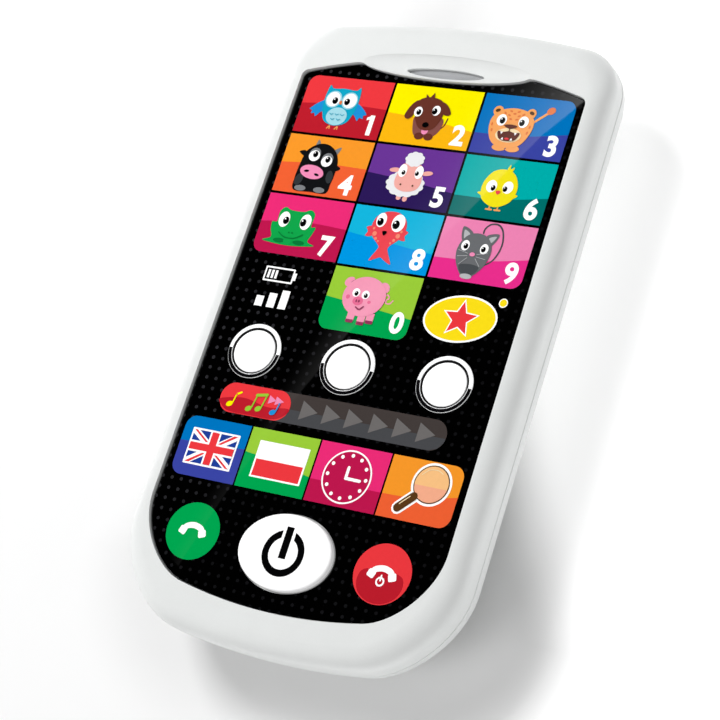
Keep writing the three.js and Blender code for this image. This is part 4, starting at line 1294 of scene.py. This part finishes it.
# %% Rooms and holes of the rear casing
cut(rear, block("bay_room", -BAY_X, BAY_X, BAY_LOW, BAY_HIGH, -1, BAY_TOP))
door_room = block("door_room", -DOOR_X - GAP, DOOR_X + GAP, DOOR_LOW - GAP, HINGE_Y + 1.2, -1, 2.15)
bevel_where(door_room, 1.2, lambda p: p.y < 0 and abs(p.x) > 13, 6)
cut(rear, door_room)
cut(rear, block("hinge_sockets", -DOOR_X - 1.7, DOOR_X + 1.7, 47.6, 49.2, 0.44, 1.85))
cut(rear, rod("cup_room", 0, DOOR_SCREW_Y, 3.2, -1, 3.5))
cut(rear, rod("cup_pilot", 0, DOOR_SCREW_Y, 1.35, 3, 6.4))
knob_room = block("knob_room", -6.6, 6.6, SWITCH_Y - 3, SWITCH_Y + 3, -1, 1.65)
bevel_where(knob_room, 0.8, lambda p: True, 4)
cut(rear, knob_room)
cut(rear, block("knob_slot", -4.4, 4.4, SWITCH_Y - 1.7, SWITCH_Y + 1.7, 0, 4))
cut(rear, rod("cone_room", 0, SPEAKER_Y, SPEAKER_R + 0.25, WALL, 6, 64))
for x, y in POSTS:
    cut(rear, turned("screw_room", [(0, -1), (3, -1), (3, 6), (1.6, 6), (1.6, 15), (0, 15)], x, y, 40))
cut(rear, fuse(*[block("pass", x - 0.8, x + 0.8, BAY_LOW - 2, BAY_LOW + 1, 10.6, 12.2)
                 for x in (-CELL_X, CELL_X)]))
holes = [(2.9 * (column + (row % 2) / 2), 2.5 * row)
         for row in range(-3, 4) for column in range(-4, 5)]
holes = [(x, y) for x, y in holes if hypot(x, y) < 9.4]
cut(rear, fuse(*[rod("hole", x, SPEAKER_Y + y, 0.8, -1, 3, 16) for x, y in holes]))
settle(rear, 28)
fit(rear, shell_white, "phone", "rear_casing")
print("speaker holes:", len(holes))

# %% [markdown]
# ## Battery door
#
# A flat lid with softened edges. A round nose along its top edge turns on two short pins, six grooves
# give a grip for a fingertip, and a captive screw sits in a boss at its lower end.


# %% Battery door
def bar(name, y, z, r, half, n=40):
    """A round bar lying along X."""
    return primitive(name, bpy.ops.mesh.primitive_cylinder_add, vertices=n, radius=r * MM,
                     depth=2 * half * MM, location=(0, y * MM, z * MM), rotation=(0, pi / 2, 0))


door_under, door_over = HINGE_Z - DOOR_THICK / 2, HINGE_Z + DOOR_THICK / 2
door = block("battery_door_lid", -DOOR_X, DOOR_X, DOOR_LOW, HINGE_Y, door_under, door_over)
bevel_where(door, 1.0, lambda p: p.y < 0 and abs(p.x) > 13, 6)
cut(door, rod("boss", 0, DOOR_SCREW_Y, 2.85, door_under + 0.2, 3.2, 48), "UNION")
cut(door, fuse(rod("sink", 0, DOOR_SCREW_Y, 2.35, -1, 2, 48), *[
    block("groove", -4, 4, 38 + i, 38.5 + i, -1, door_under + 0.4) for i in range(6)]))
cut(door, rod("bore", 0, DOOR_SCREW_Y, 1.25, 1, 4))
cut(door, bar("nose", HINGE_Y, HINGE_Z, DOOR_THICK / 2, DOOR_X), "UNION")
cut(door, bar("pins", HINGE_Y, HINGE_Z, 0.55, DOOR_X + 1.4), "UNION")
bevel_where(door, 0.25, lambda p: abs(p.z - door_under) < 0.01 and (abs(p.x) > 12.5 or p.y < -9), 3)
settle(door, 35)
fit(door, shell_white, "door", "battery_door")

# %% [markdown]
# ## Screws, switch knob and cells
#
# The screws are turned profiles with a cross cut into the head. The knob is a ribbed slider. The two
# cells are turned too: a printed jacket, bright ends and a raised positive nub.


# %% Metal, black plastic and jacket finishes
def plain(name, dark, light, size=2.0, depth=0.01, **shader):
    """A finish with a soft mottle between two colours and a fine bump."""
    made = Finish(name, light, **shader)
    made.put("Base Color", made.blend(made.grain(size, 3), dark, light))
    made.bump(made.grain(size / 4, 2), depth, 0.5)
    return made


steel = plain("steel", (0.45, 0.455, 0.46), (0.66, 0.665, 0.67), 1.5, metallic=1.0, roughness=0.28)
knob_black = plain("knob_black", tint("202123"), tint("2E2F32"), 1.0, roughness=0.45)
jacket = Finish("cell_jacket", tint("C8662A"), roughness=0.32, coat_weight=0.4)
jx, jy, _ = jacket.axes()
is_left = jx < 0
from_end = (jy - 0.0024) / (CELL_LENGTH * MM)
share = from_end * is_left + (1 - from_end) * (1 - is_left)
copper, black_part = tint("C9702E"), tint("1B1B1D")
jacket.put("Base Color", jacket.blend(share > 0.68, black_part, copper))
jacket.put("Roughness", 0.26 + jacket.grain(3, 2) * 0.15)


# %% Screws
def screw(name, x, y, head_r, shank_r, z0, z1, tip):
    """A screw with its head from z0 to z1 and its shank up to the tip."""
    piece = turned(name, [
        (0, z0), (head_r * 0.6, z0), (head_r * 0.85, z0 + 0.12), (head_r, z0 + 0.4), (head_r, z1),
        (shank_r, z1), (shank_r, tip - 0.8), (0.3, tip), (0, tip)], x, y, 48)
    arm = head_r * 0.62
    cut(piece, block("cross", x - arm, x + arm, y - 0.3, y + 0.3, z0 - 1, z0 + 0.8))
    cut(piece, block("cross", x - 0.3, x + 0.3, y - arm, y + arm, z0 - 1, z0 + 0.8))
    return settle(piece, 35)


fit(screw("battery_door_screw_cross", 0, DOOR_SCREW_Y, 2.1, 1, 0.5, 1.95, 5.2),
    steel, "door", "battery_door_screw")
for number, (x, y) in enumerate(POSTS, start=1):
    fit(screw(f"casing_screw_{number}_cross", x, y, 2.6, 1.2, 4, 5.95, 15.8),
        steel, "phone", f"casing_screw_{number}")

# %% Switch knob
OFF = -2.4
knob = block("switch_knob_ribbed", OFF - 3.6, OFF + 3.6, SWITCH_Y - 2.6, SWITCH_Y + 2.6, 0.3, 1.5)
bevel_where(knob, 0.25, lambda p: True, 3)
cut(knob, fuse(*[block("rib_gap", OFF + k - 0.25, OFF + k + 0.25, SWITCH_Y - 3, SWITCH_Y + 3, -1, 0.6)
                 for k in range(-2, 3)]))
cut(knob, block("stem", OFF - 1.5, OFF + 1.5, SWITCH_Y - 1.3, SWITCH_Y + 1.3, 1, 4.4), "UNION")
cut(knob, block("socket", OFF - 0.8, OFF + 0.8, SWITCH_Y - 0.8, SWITCH_Y + 0.8, 2.4, 5))
settle(knob, 35)
fit(knob, knob_black, "switch", "switch_knob")

# %% Cells
for side, x, low, sign in (("left", -CELL_X, BAY_HIGH - 0.45 - CELL_LENGTH - 0.05, 1),
                           ("right", CELL_X, BAY_LOW + 0.5, -1)):
    profile = [(0, 0), (3.6, 0), (3.8, 0.25), (CELL_R - 0.7, 0.25), (CELL_R - 0.2, 0.35), (CELL_R, 0.6)]
    profile += [(r, CELL_LENGTH - back) for r, back in (
        (CELL_R, 1.6), (CELL_R - 0.2, 1.2), (CELL_R - 0.6, 0.95), (1.9, 0.95), (1.85, 0.1), (1.7, 0),
        (0, 0))]
    if sign < 0:
        profile = [(r, CELL_LENGTH - along) for r, along in profile[::-1]]
    cell = turned(f"battery_{side}_cell", profile, x, low, 64, axis=(0, 1, 0), height=CELL_Z)
    settle(cell, 35)
    dress(cell, steel, 1)
    for face in cell.data.polygons:
        middle = face.center / MM
        if hypot(middle.x - x, middle.z - CELL_Z) < CELL_R - 0.45:
            face.material_index = 1
    fit(cell, jacket, "phone", f"battery_{side}")

# %% Contact springs
SPRING_STEPS = 96
for side, x, start, end in (("left", -CELL_X, BAY_LOW + 0.8, BAY_LOW + 2.6),
                            ("right", CELL_X, BAY_HIGH - 0.8, BAY_HIGH - 2.7)):
    wire = bpy.data.curves.new(f"contact_spring_{side}_coil", "CURVE")
    wire.dimensions, wire.bevel_depth, wire.bevel_resolution = "3D", 0.3 * MM, 3
    wire.use_fill_caps = True
    line = wire.splines.new("POLY")
    line.points.add(SPRING_STEPS)
    for i, spot in enumerate(line.points):
        t = i / SPRING_STEPS
        a, r = 2 * pi * 2.6 * t, 3.6 - 1.5 * t
        place = (x + r * cos(a), start + (end - start) * t, CELL_Z + r * sin(a))
        spot.co = (*(MM * v for v in place), 1)
    coil = settle(to_mesh(add_object(wire.name, wire)), 60)
    fit(coil, steel, "phone", f"contact_spring_{side}")

# %% [markdown]
# ## Working parts inside
#
# The board, lamps, switches, speaker and wires keep their own solids. Each gets the finish of its
# real material, so the phone still looks right when its door is open.

# %% Finishes of the inner parts
INNER = {  # darker and lighter colour, roughness, then the mottle's size and depth if not the usual
    "film_amber": ("B98A3C", "C99C4C", 0.3),
    "board_green": ("14502A", "1F6B3A", 0.4, 3.0),
    "part_black": ("131315", "1E1E21", 0.4),
    "part_cream": ("DDD8C6", "EAE6D8", 0.45),
    "lamp_clear": ("DAD6C8", "ECE8DC", 0.15),
    "cone_paper": ("141416", "202023", 0.9, 0.8, 0.05),
    "cap_blue": ("1E2F55", "263C68", 0.35),
    "wire_red": ("AF2018", "C62B22", 0.4),
    "wire_black": ("121214", "1C1C1F", 0.4),
}
finishes = {"steel": steel}
for name, (dark, light, rough, *mottle) in INNER.items():
    finishes[name] = plain(name, tint(dark), tint(light), *mottle, roughness=rough)
slot_of = {part["node"]: part["material_slot"] for part in frame["record"]["subparts"]}
for name, node in frame["nodes"].items():
    if node.hide_render:
        continue
    kind = slot_of.get(name)
    if kind in finishes:
        dress(node, finishes[kind])
        print(name, "->", kind)
    else:
        print("no finish for", name, kind)
